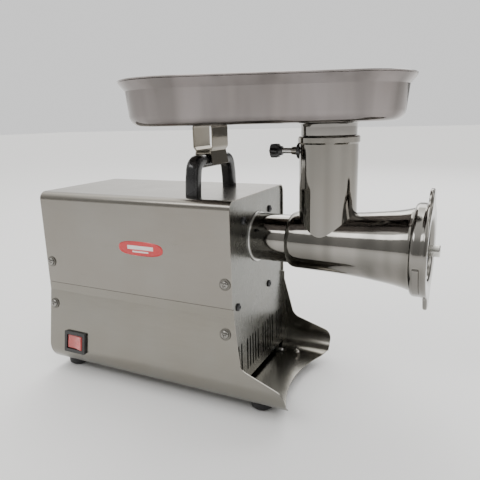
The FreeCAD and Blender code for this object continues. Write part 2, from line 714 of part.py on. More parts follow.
def make_tray_support():
    """Bent strip clip that snaps over the handle's bar and carries the tray."""
    top = TRAY_FLOOR_Z - 0.2
    t = SUPPORT_T
    solids = []
    for s in (1, -1):
        outline = [(SUPPORT_HALF, top), (SUPPORT_HALF, SUPPORT_BEND_Z),
                   (SUPPORT_PINCH, SUPPORT_PINCH_Z), (SUPPORT_FLARE, SUPPORT_END_Z),
                   (SUPPORT_FLARE - t, SUPPORT_END_Z), (SUPPORT_PINCH - t, SUPPORT_PINCH_Z),
                   (SUPPORT_HALF - t, SUPPORT_BEND_Z + 0.6), (SUPPORT_HALF - t, top)]
        points = [vec(HANDLE_X + s * u, -SUPPORT_W / 2, v) for u, v in outline]
        points.append(points[0])
        solids.append(Part.Face(Part.makePolygon(points)).extrude(vec(0, SUPPORT_W, 0)))
    solids.append(block(HANDLE_X - SUPPORT_HALF, HANDLE_X + SUPPORT_HALF,
                        -SUPPORT_W / 2, SUPPORT_W / 2, top - t, top))
    solids.append(block(HANDLE_X - SUPPORT_PINCH, HANDLE_X + SUPPORT_PINCH,
                        -SUPPORT_W / 2, SUPPORT_W / 2, HANDLE_TOP_Z + 0.02, HANDLE_TOP_Z + 0.02 + t))
    save("tray_support", fuse(solids))


# ---- cable inlet ----
def make_gland():
    """Cable gland in the rear panel, without a cable."""
    hexagon = [(GLAND_Y + GLAND_R * 1.1 * math.cos(math.radians(60 * k)),
                GLAND_Z + GLAND_R * 1.1 * math.sin(math.radians(60 * k)), 0) for k in range(6)]
    cap = front_view(hexagon, REAR_X - 5, REAR_X)
    dome_end = turned([(REAR_X - GLAND_OUT, GLAND_BORE_R), (REAR_X - GLAND_OUT, 5.6),
                       (REAR_X - 10, 6.8), (REAR_X - 5, 7.4), (REAR_X - 5, GLAND_BORE_R)],
                      GLAND_Y, GLAND_Z)
    thread = rod_x(REAR_X, REAR_X + 9, GLAND_Y, GLAND_Z, GLAND_R - 2)
    gland = fuse([cap, dome_end, thread])
    gland = gland.cut(rod_x(REAR_X - 20, REAR_X + 20, GLAND_Y, GLAND_Z, GLAND_BORE_R))
    save("cable_gland", gland)
    nut = front_view(hexagon, REAR_X + PANEL, REAR_X + PANEL + 4)
    nut = nut.cut(rod_x(REAR_X - 5, REAR_X + 15, GLAND_Y, GLAND_Z, GLAND_R - 2))
    save("gland_nut", nut)


# ---- grinding head ----
def make_head():
    """One casting: shank, barrel that widens to the outlet, and the upright feed tube."""
    end = BARREL_END_X
    outside = [(SHOULDER_X, SHANK_R), (SHOULDER_X + 1.8, SHANK_R + 2.8), (SHOULDER_X + 5.5, BARREL_R - 0.6),
               (SHOULDER_X + 12, BARREL_R), (TUBE_X + 8, BARREL_R + 0.8),
               (TUBE_X + TUBE_R + 5, BARREL_MID_R), (BARREL_FLARE_X, BARREL_FLARE_R),
               (BARREL_FLARE_X + 14, BARREL_FLARE_R + 2.0), (RING_BACK_X - 2, BARREL_END_R)]
    curve = Part.BSplineCurve()
    curve.interpolate([vec(x, 0, HEAD_Z + r) for x, r in outside])
    start = [vec(SHANK_START_X, 0, HEAD_Z + r) for r in (0, SHANK_R - 1.0)]
    start += [vec(SHANK_START_X + 1, 0, HEAD_Z + SHANK_R), vec(SHOULDER_X, 0, HEAD_Z + SHANK_R)]
    stop = [vec(RING_BACK_X - 2, 0, HEAD_Z + BARREL_END_R), vec(end, 0, HEAD_Z + BARREL_END_R),
            vec(end, 0, HEAD_Z), start[0]]
    edges = Part.makePolygon(start).Edges + [curve.toShape()] + Part.makePolygon(stop).Edges
    section = Part.Face(Part.Wire(Part.__sortEdges__(edges)))
    barrel = section.revolve(vec(0, 0, HEAD_Z), vec(1, 0, 0), 360)
    tube = rod_z(HEAD_Z, TUBE_TOP_Z, TUBE_X, 0, TUBE_R)
    bead = turned_z([(TUBE_R - 2, TUBE_TOP_Z - BEAD_H - 0.8), (TUBE_R + 0.1, TUBE_TOP_Z - BEAD_H - 0.8),
                     (TUBE_R + BEAD_OUT, TUBE_TOP_Z - BEAD_H + 0.8),
                     (TUBE_R + BEAD_OUT, TUBE_TOP_Z - 1.4), (TUBE_R, TUBE_TOP_Z),
                     (TUBE_R - 2, TUBE_TOP_Z)], TUBE_X, 0)
    boss = turned([(TUBE_X - TUBE_R - TRAY_BOSS_L, 0), (TUBE_X - TUBE_R - TRAY_BOSS_L, 3.9),
                   (TUBE_X - TUBE_R - 1, TRAY_BOSS_R), (TUBE_X - TUBE_R + 2, TRAY_BOSS_R),
                   (TUBE_X - TUBE_R + 2, 0)], 0, TRAY_LOCK_Z)
    head = fuse([barrel, tube, bead, boss])
    bore = turned([(SHANK_START_X - 1, 0), (SHANK_START_X - 1, SHANK_BORE_R),
                   (SHOULDER_X - 8, SHANK_BORE_R), (SHOULDER_X + 2, BARREL_BORE_R),
                   (SEAT_X, BARREL_BORE_R), (SEAT_X, SEAT_R + RUN), (end + 1, SEAT_R + RUN),
                   (end + 1, 0)], 0, HEAD_Z)
    throat = rod_z(HEAD_Z, TUBE_TOP_Z + 1, TUBE_X, 0, TUBE_R - TUBE_WALL)
    lock = rod_x(TUBE_X - TUBE_R - 20, TUBE_X - TUBE_R + 10, 0, TRAY_LOCK_Z, LOCK_STUD_R + RUN)
    key = rod_x(SEAT_X + 5, end + 1, 0, HEAD_Z - SEAT_R - 0.8, 1.8)
    head = head.cut(bore).cut(throat).cut(lock).cut(key)
    save("head_barrel", head)
    save("plate_pin", rod_x(SEAT_X + 5, end, 0, HEAD_Z - SEAT_R - 0.8, 1.8))
    save("worm_bush", tube_x(SHANK_START_X + 4, SHOULDER_X - 10, 0, HEAD_Z,
                             SHANK_BORE_R, JOURNAL_R + RUN))


def square_x(side, x0, x1, z):
    return block(x0, x1, -side / 2, side / 2, z - side / 2, z + side / 2)


def make_worm():
    """Feed screw: square tail, journal, core with a helical flight, knife square and front pin."""
    start = SHOULDER_X + 4
    collar = WORM_END_X - WORM_COLLAR
    root = rod_x(start, collar, 0, HEAD_Z, WORM_ROOT_R)
    journal = rod_x(SHANK_START_X + 2, start, 0, HEAD_Z, JOURNAL_R)
    cone = Part.makeCone(WORM_ROOT_R, FLIGHT_R - 6, WORM_COLLAR / 2, vec(collar, 0, HEAD_Z), vec(1, 0, 0))
    disc = rod_x(collar + WORM_COLLAR / 2, WORM_END_X, 0, HEAD_Z, FLIGHT_R - 6)
    tail = square_x(WORM_TAIL, WORM_TAIL_X, SHANK_START_X + 3, HEAD_Z)
    knife_end = square_x(KNIFE_SQUARE, WORM_END_X - 1, PLATE_X - 0.4, HEAD_Z)
    pin = rod_x(WORM_END_X - 1, PIN_END_X - 0.8, 0, HEAD_Z, PIN_R)
    tip = Part.makeCone(PIN_R, PIN_R - 0.8, 0.8, vec(PIN_END_X - 0.8, 0, HEAD_Z), vec(1, 0, 0))
    first = start + FLIGHT_T / 2 + 1.0
    run = collar - first - FLIGHT_T / 2 - 1.0
    helix = Part.makeHelix(FLIGHT_PITCH, run, WORM_ROOT_R)
    section = Part.makePolygon([vec(WORM_ROOT_R - 2, 0, -FLIGHT_T / 2), vec(FLIGHT_R, 0, -FLIGHT_T / 4),
                                vec(FLIGHT_R, 0, FLIGHT_T / 4), vec(WORM_ROOT_R - 2, 0, FLIGHT_T / 2),
                                vec(WORM_ROOT_R - 2, 0, -FLIGHT_T / 2)])
    flight = Part.Wire(helix.Edges).makePipeShell([section], True, True)
    flight.rotate(vec(0, 0, 0), vec(0, 1, 0), 90)
    flight.translate(vec(first, 0, HEAD_Z))
    worm = root.fuse(flight)
    for piece in (journal, tail, cone, disc, knife_end, pin, tip):
        worm = worm.fuse(piece)
    save("feed_worm", worm)


def make_knife():
    """Four-bladed cross knife with a square hole."""
    hub = rod_x(KNIFE_X, KNIFE_X + KNIFE_T, 0, HEAD_Z, 11.0)
    solids = [hub]
    for k in range(4):
        blade = plan_view([(KNIFE_X + 1.5, -3.0, 0), (KNIFE_X + KNIFE_T, -5.5, 0),
                           (KNIFE_X + KNIFE_T, 5.0, 0), (KNIFE_X + 3.0, 5.0, 0)],
                          HEAD_Z, HEAD_Z + KNIFE_R - 1)
        blade.rotate(vec(0, 0, HEAD_Z), vec(1, 0, 0), 90 * k + 20)
        solids.append(blade)
    knife = fuse(solids)
    knife = knife.cut(square_x(KNIFE_SQUARE + 0.2, KNIFE_X - 1, PLATE_X, HEAD_Z))
    save("cutting_knife", knife)


def make_plate():
    """Hole plate: three rings of holes, a centre bore and a keyway."""
    plate = rod_x(PLATE_X, PLATE_FRONT_X, 0, HEAD_Z, SEAT_R)
    holes = [rod_x(PLATE_X - 1, PLATE_FRONT_X + 1, 0, HEAD_Z, PIN_R + RUN)]
    for radius, number in zip(PLATE_RING_R, PLATE_RING_N):
        for k in range(number):
            angle = 2 * math.pi * k / number
            holes.append(rod_x(PLATE_X - 1, PLATE_FRONT_X + 1, radius * math.cos(angle),
                               HEAD_Z + radius * math.sin(angle), PLATE_HOLE_R))
    holes.append(rod_x(PLATE_X - 1, PLATE_FRONT_X + 1, 0, HEAD_Z - SEAT_R - 0.8, 1.9))
    save("hole_plate", plate.cut(group(holes)))


def make_ring_nut():
    """Retaining ring with an inner lip, two lugs in its front plane and raised grip pads."""
    body = turned([(RING_BACK_X, 0), (RING_BACK_X, RING_R - 3.0), (RING_BACK_X + 3.5, RING_R - 0.3),
                   (RING_BACK_X + 6, RING_R), (RING_FRONT_X - LUG_T, RING_R),
                   (RING_FRONT_X - 1, RING_R - 0.6), (RING_FRONT_X, RING_R - 1.6),
                   (RING_FRONT_X, 0)], 0, HEAD_Z)
    pad_solid = turned([(RING_BACK_X + 3, RING_R - 3), (RING_BACK_X + 3, RING_R + PAD_OUT),
                        (RING_FRONT_X - 6, RING_R + PAD_OUT), (RING_FRONT_X - 6, RING_R - 3)],
                       0, HEAD_Z)
    solids = [body]
    for s in (1, -1):
        width = LUG_W / 2
        tip = LUG_TIP_R
        lug = front_view([(-width - 8, HEAD_Z + s * (RING_R - 8), 0), (width + 8, HEAD_Z + s * (RING_R - 8), 0),
                          (width - 2, HEAD_Z + s * tip, 6), (-width + 2, HEAD_Z + s * tip, 6)],
                         RING_FRONT_X - LUG_T, RING_FRONT_X)
        rib = side_view([(RING_BACK_X + 9, HEAD_Z + s * (RING_R - 3), 0),
                         (RING_FRONT_X - LUG_T + 0.5, HEAD_Z + s * (RING_R - 3), 0),
                         (RING_FRONT_X - LUG_T + 0.5, HEAD_Z + s * (RING_R + 7), 0)], -3.5, 3.5)
        wedge = front_view([(0, HEAD_Z, 0), (-s * 70, HEAD_Z - s * 12, 0), (-s * 70, HEAD_Z - s * 70, 0),
                            (s * 4, HEAD_Z - s * 70, 0)], RING_BACK_X, RING_FRONT_X)
        solids += [lug, rib, pad_solid.common(wedge)]
    ring = fuse(solids)
    hollow = turned([(RING_BACK_X - 1, 0), (RING_BACK_X - 1, BARREL_END_R + GAP),
                     (RING_FRONT_X - RING_LIP, BARREL_END_R + GAP), (RING_FRONT_X - RING_LIP, RING_LIP_R),
                     (RING_FRONT_X - 1.5, RING_LIP_R), (RING_FRONT_X + 1, RING_LIP_R + 2.5),
                     (RING_FRONT_X + 1, 0)], 0, HEAD_Z)
    save("ring_nut", ring.cut(hollow))


# ---- feed tray ----
def tray_wire(inset, z):
    """Rounded rectangle of the tray's outline, drawn in inwards and turned with the tray."""
    half_l = TRAY_LENGTH / 2 - inset
    half_w = TRAY_WIDTH / 2 - inset
    corner = TRAY_CORNER - inset
    runs = rounded_outline(rectangle(-half_l, half_l, -half_w, half_w, corner))
    turn = math.radians(TRAY_TURN)
    cos_t = math.cos(turn)
    sin_t = math.sin(turn)

    def place(u, v):
        return vec(TRAY_MID_X + u * cos_t - v * sin_t, TRAY_MID_Y + u * sin_t + v * cos_t, z)

    return outline_wire(runs, place)


def bend_levels(inset, z, radius, steps):
    """(inset, z) levels of a quarter bend from a flat floor up into a wall."""
    levels = []
    for k in range(steps + 1):
        angle = math.pi / 2 * k / steps
        levels.append((inset + radius * (1 - math.sin(angle)), z + radius * (1 - math.cos(angle))))
    return levels


def make_tray():
    """Deep drawn pan with leaning walls and a rim that turns out, and its round spout."""
    wall_low = TRAY_RIM + TRAY_DRAFT
    outside = bend_levels(wall_low, TRAY_FLOOR_Z, TRAY_BEND, 4)
    outside += [(TRAY_RIM, TRAY_RIM_Z - 5.0), (TRAY_RIM - 1.0, TRAY_RIM_Z - 3.0),
                (TRAY_RIM - 2.8, TRAY_RIM_Z - 1.6), (0.0, TRAY_RIM_Z - TRAY_SHEET), (0.0, TRAY_RIM_Z)]
    t = TRAY_SHEET
    inside = bend_levels(wall_low + t, TRAY_FLOOR_Z + t, TRAY_BEND - t, 4)
    inside += [(TRAY_RIM + t, TRAY_RIM_Z - 4.4), (TRAY_RIM - 0.2, TRAY_RIM_Z - 1.8),
               (TRAY_RIM - 2.4, TRAY_RIM_Z - 0.3), (TRAY_RIM - 3.6, TRAY_RIM_Z),
               (TRAY_RIM - 3.6, TRAY_RIM_Z + 1)]
    shell = Part.makeLoft([tray_wire(i, z) for i, z in outside], True, True)
    hollow = Part.makeLoft([tray_wire(i, z) for i, z in inside], True, True)
    pan = shell.cut(hollow)
    pan = pan.cut(rod_z(TRAY_FLOOR_Z - 5, TRAY_FLOOR_Z + 5, TUBE_X, 0, SPOUT_BORE_R))
    save("feed_tray", pan)
    low = TUBE_TOP_Z - SPOUT_DROP
    spout = turned_z([(SPOUT_BORE_R, low), (SPOUT_R, low), (SPOUT_R, TUBE_TOP_Z + GAP),
                      (COLLAR_R, TUBE_TOP_Z + GAP), (COLLAR_R, TRAY_FLOOR_Z - 4),
                      (COLLAR_R + 1.2, TRAY_FLOOR_Z - 1.2), (COLLAR_R + 3.4, TRAY_FLOOR_Z),
                      (SPOUT_BORE_R, TRAY_FLOOR_Z)], TUBE_X, 0)
    save("tray_spout", spout)


# ---- lock screws ----
def star_knob(radius, length, lobes, bore):
    """Lobed knob about the x direction, from x = 0 to x = length, with a neck on its far side."""
    solids = [rod_x(0, length, 0, 0, radius * 0.72)]
    for k in range(lobes):
        angle = 2 * math.pi * k / lobes
        solids.append(rod_x(0, length * 0.8, radius * 0.62 * math.cos(angle),
                            radius * 0.62 * math.sin(angle), radius * 0.38))
    return fuse(solids).cut(rod_x(length * 0.3, length + 1, 0, 0, bore))


def make_tray_lock():
    """Thumb screw in the feed tube that holds the tray's spout."""
    wall_x = TUBE_X - TUBE_R
    boss_x = wall_x - TRAY_BOSS_L
    knob_x = boss_x - TRAY_KNOB_GAP - TRAY_KNOB_L
    knob = star_knob(TRAY_KNOB_R, TRAY_KNOB_L, 6, LOCK_STUD_R)
    knob.translate(vec(knob_x, 0, TRAY_LOCK_Z))
    save("tray_lock_knob", knob)
    tip = TUBE_X - SPOUT_R - 0.3
    stud = rod_x(knob_x + TRAY_KNOB_L * 0.3, tip, 0, TRAY_LOCK_Z, LOCK_STUD_R)
    save("tray_lock_stud", stud)


def make_head_lock():
    """Thumb screw through the far side of the cover into the hub, which holds the head."""
    outside = HALF + 4.0
    knob = star_knob(HEAD_KNOB_R, HEAD_KNOB_L, 6, LOCK_STUD_R)
    knob.rotate(vec(0, 0, 0), vec(0, 0, 1), -90)
    knob.translate(vec(HEAD_LOCK_X, outside + HEAD_KNOB_L, HEAD_Z))
    save("head_lock_knob", knob)
    save("head_lock_stud", rod_y(SHANK_R + 0.4, outside + HEAD_KNOB_L * 0.7,
                                 HEAD_LOCK_X, HEAD_Z, LOCK_STUD_R))


# ---- gears, shafts and bearings ----
def involute(angle):
    return math.tan(angle) - angle


def gear_outline(teeth, module, phase):
    """Spur gear outline with involute flanks, as (y, z) points about the gear's centre."""
    pressure = math.radians(20)
    pitch_r = teeth * module / 2
    base_r = pitch_r * math.cos(pressure)
    tip_r = pitch_r + module
    root_r = pitch_r - 1.25 * module
    thickness = math.pi * module / 2 - BACKLASH
    half_pitch = thickness / 2 / pitch_r + involute(pressure)
    points = []
    start_r = max(base_r, root_r)
    for k in range(teeth):
        centre = phase + 2 * math.pi * k / teeth
        flank = []
        for j in range(5):
            r = start_r + (tip_r - start_r) * j / 4
            half = half_pitch - involute(math.acos(min(1.0, base_r / r)))
            flank.append((r, half))
        root_half = flank[0][1] + 0.15 * module / root_r
        points.append((root_r, centre - root_half))
        points += [(r, centre - half) for r, half in flank]
        points += [(r, centre + half) for r, half in reversed(flank)]
        points.append((root_r, centre + root_half))
    return [(r * math.cos(a), r * math.sin(a)) for r, a in points]


def gear(teeth, module, phase, x0, x1, y, z):
    points = [vec(x0, y + u, z + v) for u, v in gear_outline(teeth, module, phase)]
    points.append(points[0])
    return Part.Face(Part.makePolygon(points)).extrude(vec(x1 - x0, 0, 0))


def bearing(x0, index, y, z):
    """Ball bearing as one closed ring with a groove in each face."""
    outer = BEARING_OD[index] / 2
    inner = BEARING_ID[index] / 2 + RUN
    width = BEARING_W[index]
    ring = tube_x(x0, x0 + width, y, z, outer, inner)
    groove = tube_x(x0 - 1, x0 + 0.8, y, z, inner + (outer - inner) * 0.7, inner + (outer - inner) * 0.3)
    back = groove.copy()
    back.translate(vec(width + 0.2, 0, 0))
    return ring.cut(groove).cut(back)


def make_drive():
    """Output shaft with its socket, output gear, intermediate gear and shaft, and bearings."""
    pinion_n, output_n = STAGE2_TEETH
    motor_n, middle_n = STAGE1_TEETH
    up = math.atan2(HEAD_Z - MIDDLE_Z, -MIDDLE_Y)
    down = math.atan2(MOTOR_Z - MIDDLE_Z, -MIDDLE_Y)
    shaft_r = BEARING_ID[0] / 2
    output = turned([(CHAMBER_REAR_X - BEARING_W[0] + 2, 0), (CHAMBER_REAR_X - BEARING_W[0] + 2, shaft_r),
                     (CHAMBER_FRONT_X + BEARING_W[0] + 1, shaft_r),
                     (CHAMBER_FRONT_X + BEARING_W[0] + 1, SOCKET_R),
                     (SHANK_START_X - 2, SOCKET_R), (SHANK_START_X - 2, 0)], 0, HEAD_Z)
    output = output.cut(square_x(WORM_TAIL + 0.3, WORM_TAIL_X - 1, SHANK_START_X, HEAD_Z))
    save("output_shaft", output)
    wheel = gear(output_n, STAGE2_MODULE, up + math.pi + math.pi / output_n,
                 STAGE2_X[0], STAGE2_X[1], 0, HEAD_Z)
    recess = tube_x(STAGE2_X[0] - 1, STAGE2_X[0] + 4, 0, HEAD_Z, 27.0, 16.0)
    front = recess.copy()
    front.translate(vec(STAGE2_X[1] - STAGE2_X[0] - 3, 0, 0))
    wheel = wheel.cut(rod_x(STAGE2_X[0] - 1, STAGE2_X[1] + 1, 0, HEAD_Z, shaft_r))
    save("output_gear", wheel.cut(recess).cut(front))
    save("output_bearings", group([bearing(CHAMBER_FRONT_X, 0, 0, HEAD_Z),
                                   bearing(CHAMBER_REAR_X - BEARING_W[0], 0, 0, HEAD_Z)]))
    save("oil_seal", tube_x(HUB_SEAL_X, HUB_SEAL_X + SEAL_W, 0, HEAD_Z,
                            BEARING_OD[0] / 2, SOCKET_R + RUN))
    middle_r = BEARING_ID[1] / 2
    shaft = rod_x(CHAMBER_REAR_X - BEARING_W[1], CHAMBER_FRONT_X + BEARING_W[1], MIDDLE_Y, MIDDLE_Z, middle_r)
    pinion = gear(pinion_n, STAGE2_MODULE, up, STAGE2_X[0] - 2, STAGE2_X[1] + 1, MIDDLE_Y, MIDDLE_Z)
    save("intermediate_pinion_shaft", shaft.fuse(pinion).removeSplitter())
    wheel = gear(middle_n, STAGE1_MODULE, down, STAGE1_X[0], STAGE1_X[1], MIDDLE_Y, MIDDLE_Z)
    wheel = wheel.cut(rod_x(STAGE1_X[0] - 1, STAGE1_X[1] + 1, MIDDLE_Y, MIDDLE_Z, middle_r))
    save("intermediate_gear", wheel)
    save("intermediate_bearings", group([bearing(CHAMBER_FRONT_X, 1, MIDDLE_Y, MIDDLE_Z),
                                         bearing(CHAMBER_REAR_X - BEARING_W[1], 1, MIDDLE_Y, MIDDLE_Z)]))


def case_outline(grow, x0, x1):
    """Prism round the three gear axes and the posts, grown outwards by a wall."""
    output_r = STAGE2_MODULE * STAGE2_TEETH[1] / 2 + STAGE2_MODULE + GEAR_ROOM + grow
    middle_r = STAGE1_MODULE * STAGE1_TEETH[1] / 2 + STAGE1_MODULE + GEAR_ROOM + grow
    motor_r = STAGE1_MODULE * STAGE1_TEETH[0] / 2 + STAGE1_MODULE + GEAR_ROOM + grow
    return fuse([rod_x(x0, x1, 0, HEAD_Z, output_r), rod_x(x0, x1, MIDDLE_Y, MIDDLE_Z, middle_r),
                 rod_x(x0, x1, 0, MOTOR_Z, motor_r)])


def make_gearbox():
    """Cast case with the hub and four posts, its rear cover and the screws between them."""
    rear = CHAMBER_REAR_X
    front = CHAMBER_FRONT_X
    case = case_outline(CASE_WALL, rear, front + CASE_FRONT)
    hub = rod_x(front, FRONT_X + HUB_OUT, 0, HEAD_Z, HUB_NECK_R)
    hub = hub.makeFillet(1.2, [e for e in hub.Edges if e.BoundBox.XMin > FRONT_X])
    hub_back = rod_x(front, PANEL_BACK_X, 0, HEAD_Z, HUB_R)
    seat = rod_x(front, front + BEARING_W[1] + 3, MIDDLE_Y, MIDDLE_Z, BEARING_OD[1] / 2 + CASE_WALL)
    solids = [case, hub, hub_back, seat]
    for y, z in POSTS:
        solids.append(rod_x(rear, PANEL_BACK_X, y, z, POST_R))
        solids.append(block(rear, front + CASE_FRONT, min(y, 0), max(y, 0), z - POST_R, z + POST_R))
    case = fuse(solids)
    case = case.cut(case_outline(0, rear - 1, front))
    case = case.cut(rod_x(front - 1, front + BEARING_W[0], 0, HEAD_Z, BEARING_OD[0] / 2))
    case = case.cut(rod_x(front, HUB_SEAL_X + SEAL_W, 0, HEAD_Z, BEARING_OD[0] / 2))
    case = case.cut(rod_x(HUB_SEAL_X, SHANK_START_X, 0, HEAD_Z, SHANK_BORE_R + 4))
    case = case.cut(rod_x(SHANK_START_X - 0.5, FRONT_X + 5, 0, HEAD_Z, SHANK_R + RUN))
    case = case.cut(rod_x(front - 1, front + BEARING_W[1], MIDDLE_Y, MIDDLE_Z, BEARING_OD[1] / 2))
    case = case.cut(rod_y(0, 60, HEAD_LOCK_X, HEAD_Z, LOCK_STUD_R + RUN))
    for y, z in POSTS:
        case = case.cut(rod_x(PANEL_BACK_X - 16, PANEL_BACK_X + 1, y, z, POST_BOLT_R))
        case = case.cut(rod_x(rear - 1, rear + 10, y, z, SCREW_R))
    save("gearbox_case", case)
    back = rear - CASE_COVER
    cover = case_outline(CASE_WALL, back, rear)
    ears = [rod_x(back, rear, y, z, POST_R + 1.5) for y, z in POSTS]
    webs = [block(back, rear, min(y, 0), max(y, 0), z - POST_R, z + POST_R) for y, z in POSTS]
    seat = rod_x(rear - BEARING_W[0] - 3, rear, 0, HEAD_Z, BEARING_OD[0] / 2 + CASE_WALL)
    cover = fuse([cover, seat] + ears + webs)
    cover = cover.cut(rod_x(rear - BEARING_W[0], rear + 1, 0, HEAD_Z, BEARING_OD[0] / 2))
    cover = cover.cut(rod_x(rear - BEARING_W[1], rear + 1, MIDDLE_Y, MIDDLE_Z, BEARING_OD[1] / 2))
    pinion_tip = STAGE1_MODULE * (STAGE1_TEETH[0] / 2 + 1)
    cover = cover.cut(rod_x(back - 1, rear + 1, 0, MOTOR_Z, pinion_tip + 0.5))
    screws = []
    for y, z in POSTS:
        seat_x = back + SCREW_HEAD + 0.6
        cover = cover.cut(rod_x(back - 1, rear + 1, y, z, SCREW_R + RUN))
        cover = cover.cut(rod_x(back - 1, seat_x, y, z, SCREW_HEAD_R + 0.3))
        head = dome(seat_x, y, z, SCREW_HEAD_R, SCREW_HEAD, vec(-1, 0, 0))
        screws.append(head.fuse(rod_x(seat_x, rear + 9, y, z, SCREW_R)).removeSplitter())
    save("gearbox_cover", cover)
    save("gearbox_screws", group(screws))


def make_motor():
    """Induction motor: stator, windings, bells, rotor, shaft with pinion, fan and tie bolts."""
    z = MOTOR_Z
    x0, x1 = STATOR_X
    stator = rod_x(x0, x1, 0, z, STATOR_R).cut(rod_x(x0 - 1, x1 + 1, 0, z, ROTOR_R + 0.5))
    slots = []
    for k in range(24):
        cutter = block(x0 - 1, x1 + 1, -1.6, 1.6, z + ROTOR_R + 1.5, z + ROTOR_R + 12)
        cutter.rotate(vec(0, 0, z), vec(1, 0, 0), 15 * k)
        slots.append(cutter)
    bolt_r = STATOR_R - 5.0
    corners = [(bolt_r * math.cos(math.radians(45 + 90 * k)),
                z + bolt_r * math.sin(math.radians(45 + 90 * k))) for k in range(4)]
    tie_holes = [rod_x(0, 200, y, zz, SCREW_R + RUN) for y, zz in corners]
    save("motor_stator", stator.cut(group(slots)).cut(group(tie_holes)))
    coil_r = ROTOR_R + 12
    ends = [tube_x(x1 + 0.2, x1 + 12, 0, z, coil_r, ROTOR_R + 2),
            tube_x(x0 - 12, x0 - 0.2, 0, z, coil_r, ROTOR_R + 2)]
    save("stator_windings", group(ends))
    save("motor_front_bell", motor_bell(x1, BELL_FRONT_X, 1, tie_holes))
    save("motor_rear_bell", motor_bell(x0, BELL_REAR_X, -1, tie_holes))
    shaft_r = BEARING_ID[2] / 2
    motor_n, middle_n = STAGE1_TEETH
    down = math.atan2(MOTOR_Z - MIDDLE_Z, -MIDDLE_Y)
    pinion = gear(motor_n, STAGE1_MODULE, down + math.pi + math.pi / motor_n,
                  STAGE1_X[0] - 1, STAGE1_X[1] + 1, 0, z)
    shaft = rod_x(FAN_X[0] - 2, STAGE1_X[0], 0, z, shaft_r)
    save("motor_shaft", shaft.fuse(pinion).removeSplitter())
    save("motor_rotor", tube_x(x0, x1, 0, z, ROTOR_R, shaft_r))
    save("motor_bearings", group([bearing(BELL_FRONT_X - BEARING_W[2] - 3, 2, 0, z),
                                  bearing(BELL_REAR_X + 3, 2, 0, z)]))
    blades = [tube_x(FAN_X[0], FAN_X[1], 0, z, 14.0, shaft_r),
              tube_x(FAN_X[0], FAN_X[0] + 1.5, 0, z, FAN_R, 13.0)]
    for k in range(FAN_BLADES):
        blade = block(FAN_X[0] + 1, FAN_X[1], -0.8, 0.8, z + 13, z + FAN_R)
        blade.rotate(vec(0, 0, z), vec(1, 0, 0), 360.0 / FAN_BLADES * k)
        blades.append(blade)
    save("cooling_fan", fuse(blades))
    bolts = [rod_x(BELL_REAR_X - 3, BELL_FRONT_X, y, zz, SCREW_R) for y, zz in corners]
    heads = [rod_x(BELL_REAR_X - 6, BELL_REAR_X, y, zz, SCREW_HEAD_R - 1) for y, zz in corners]
    save("motor_tie_bolts", group([b.fuse(h).removeSplitter() for b, h in zip(bolts, heads)]))


def motor_bell(stator_face, end_x, side, holes):
    """Cup-shaped motor end with a bearing seat; side is +1 at the front and -1 at the rear."""
    z = MOTOR_Z
    lo = min(stator_face, end_x)
    hi = max(stator_face, end_x)
    cup = rod_x(lo, hi, 0, z, STATOR_R)
    inner_end = end_x - side * 3.0
    cup = cup.cut(rod_x(min(stator_face - side, inner_end), max(stator_face - side, inner_end),
                        0, z, STATOR_R - 10.5))
    seat_end = end_x - side * (BEARING_W[2] + 3.0)
    seat = rod_x(min(seat_end, end_x), max(seat_end, end_x), 0, z, BEARING_OD[2] / 2 + 3.5)
    pocket_end = end_x - side * 3.0
    bell = cup.fuse(seat)
    bell = bell.cut(rod_x(min(seat_end, pocket_end), max(seat_end, pocket_end), 0, z, BEARING_OD[2] / 2))
    bell = bell.cut(rod_x(lo - 2, hi + 2, 0, z, BEARING_ID[2] / 2 + 1.0))
    for k in range(8):
        window = block(lo + 6, hi - 6, -6, 6, z + STATOR_R - 15, z + STATOR_R + 5)
        window.rotate(vec(0, 0, z), vec(1, 0, 0), 22.5 + 45 * k)
        bell = bell.cut(window)
    return bell.cut(group(holes)).removeSplitter()


def make_cradle():
    """Bent steel cradle that carries the stator on the floor, with its four screws."""
    x0, x1 = CRADLE_X
    saddle = block(x0, x1, -CRADLE_HALF, CRADLE_HALF, FLOOR_TOP, MOTOR_Z - STATOR_R / 2)
    saddle = saddle.cut(rod_x(x0 - 1, x1 + 1, 0, MOTOR_Z, STATOR_R))
    saddle = saddle.cut(block(x0 + CRADLE_WALL, x1 - CRADLE_WALL, -CRADLE_HALF - 1, CRADLE_HALF + 1,
                              FLOOR_TOP + CRADLE_WALL, MOTOR_Z))
    screws = []
    for x, y in CRADLE_SCREWS:
        saddle = saddle.cut(rod_z(0, 40, x, y, SCREW_R))
        head = dome(x, y, FLOOR_Z, SCREW_HEAD_R, SCREW_HEAD, vec(0, 0, -1))
        shank = rod_z(FLOOR_Z, FLOOR_TOP + CRADLE_WALL, x, y, SCREW_R)
        screws.append(head.fuse(shank).removeSplitter())
    save("motor_cradle", saddle)
    save("cradle_screws", group(screws))


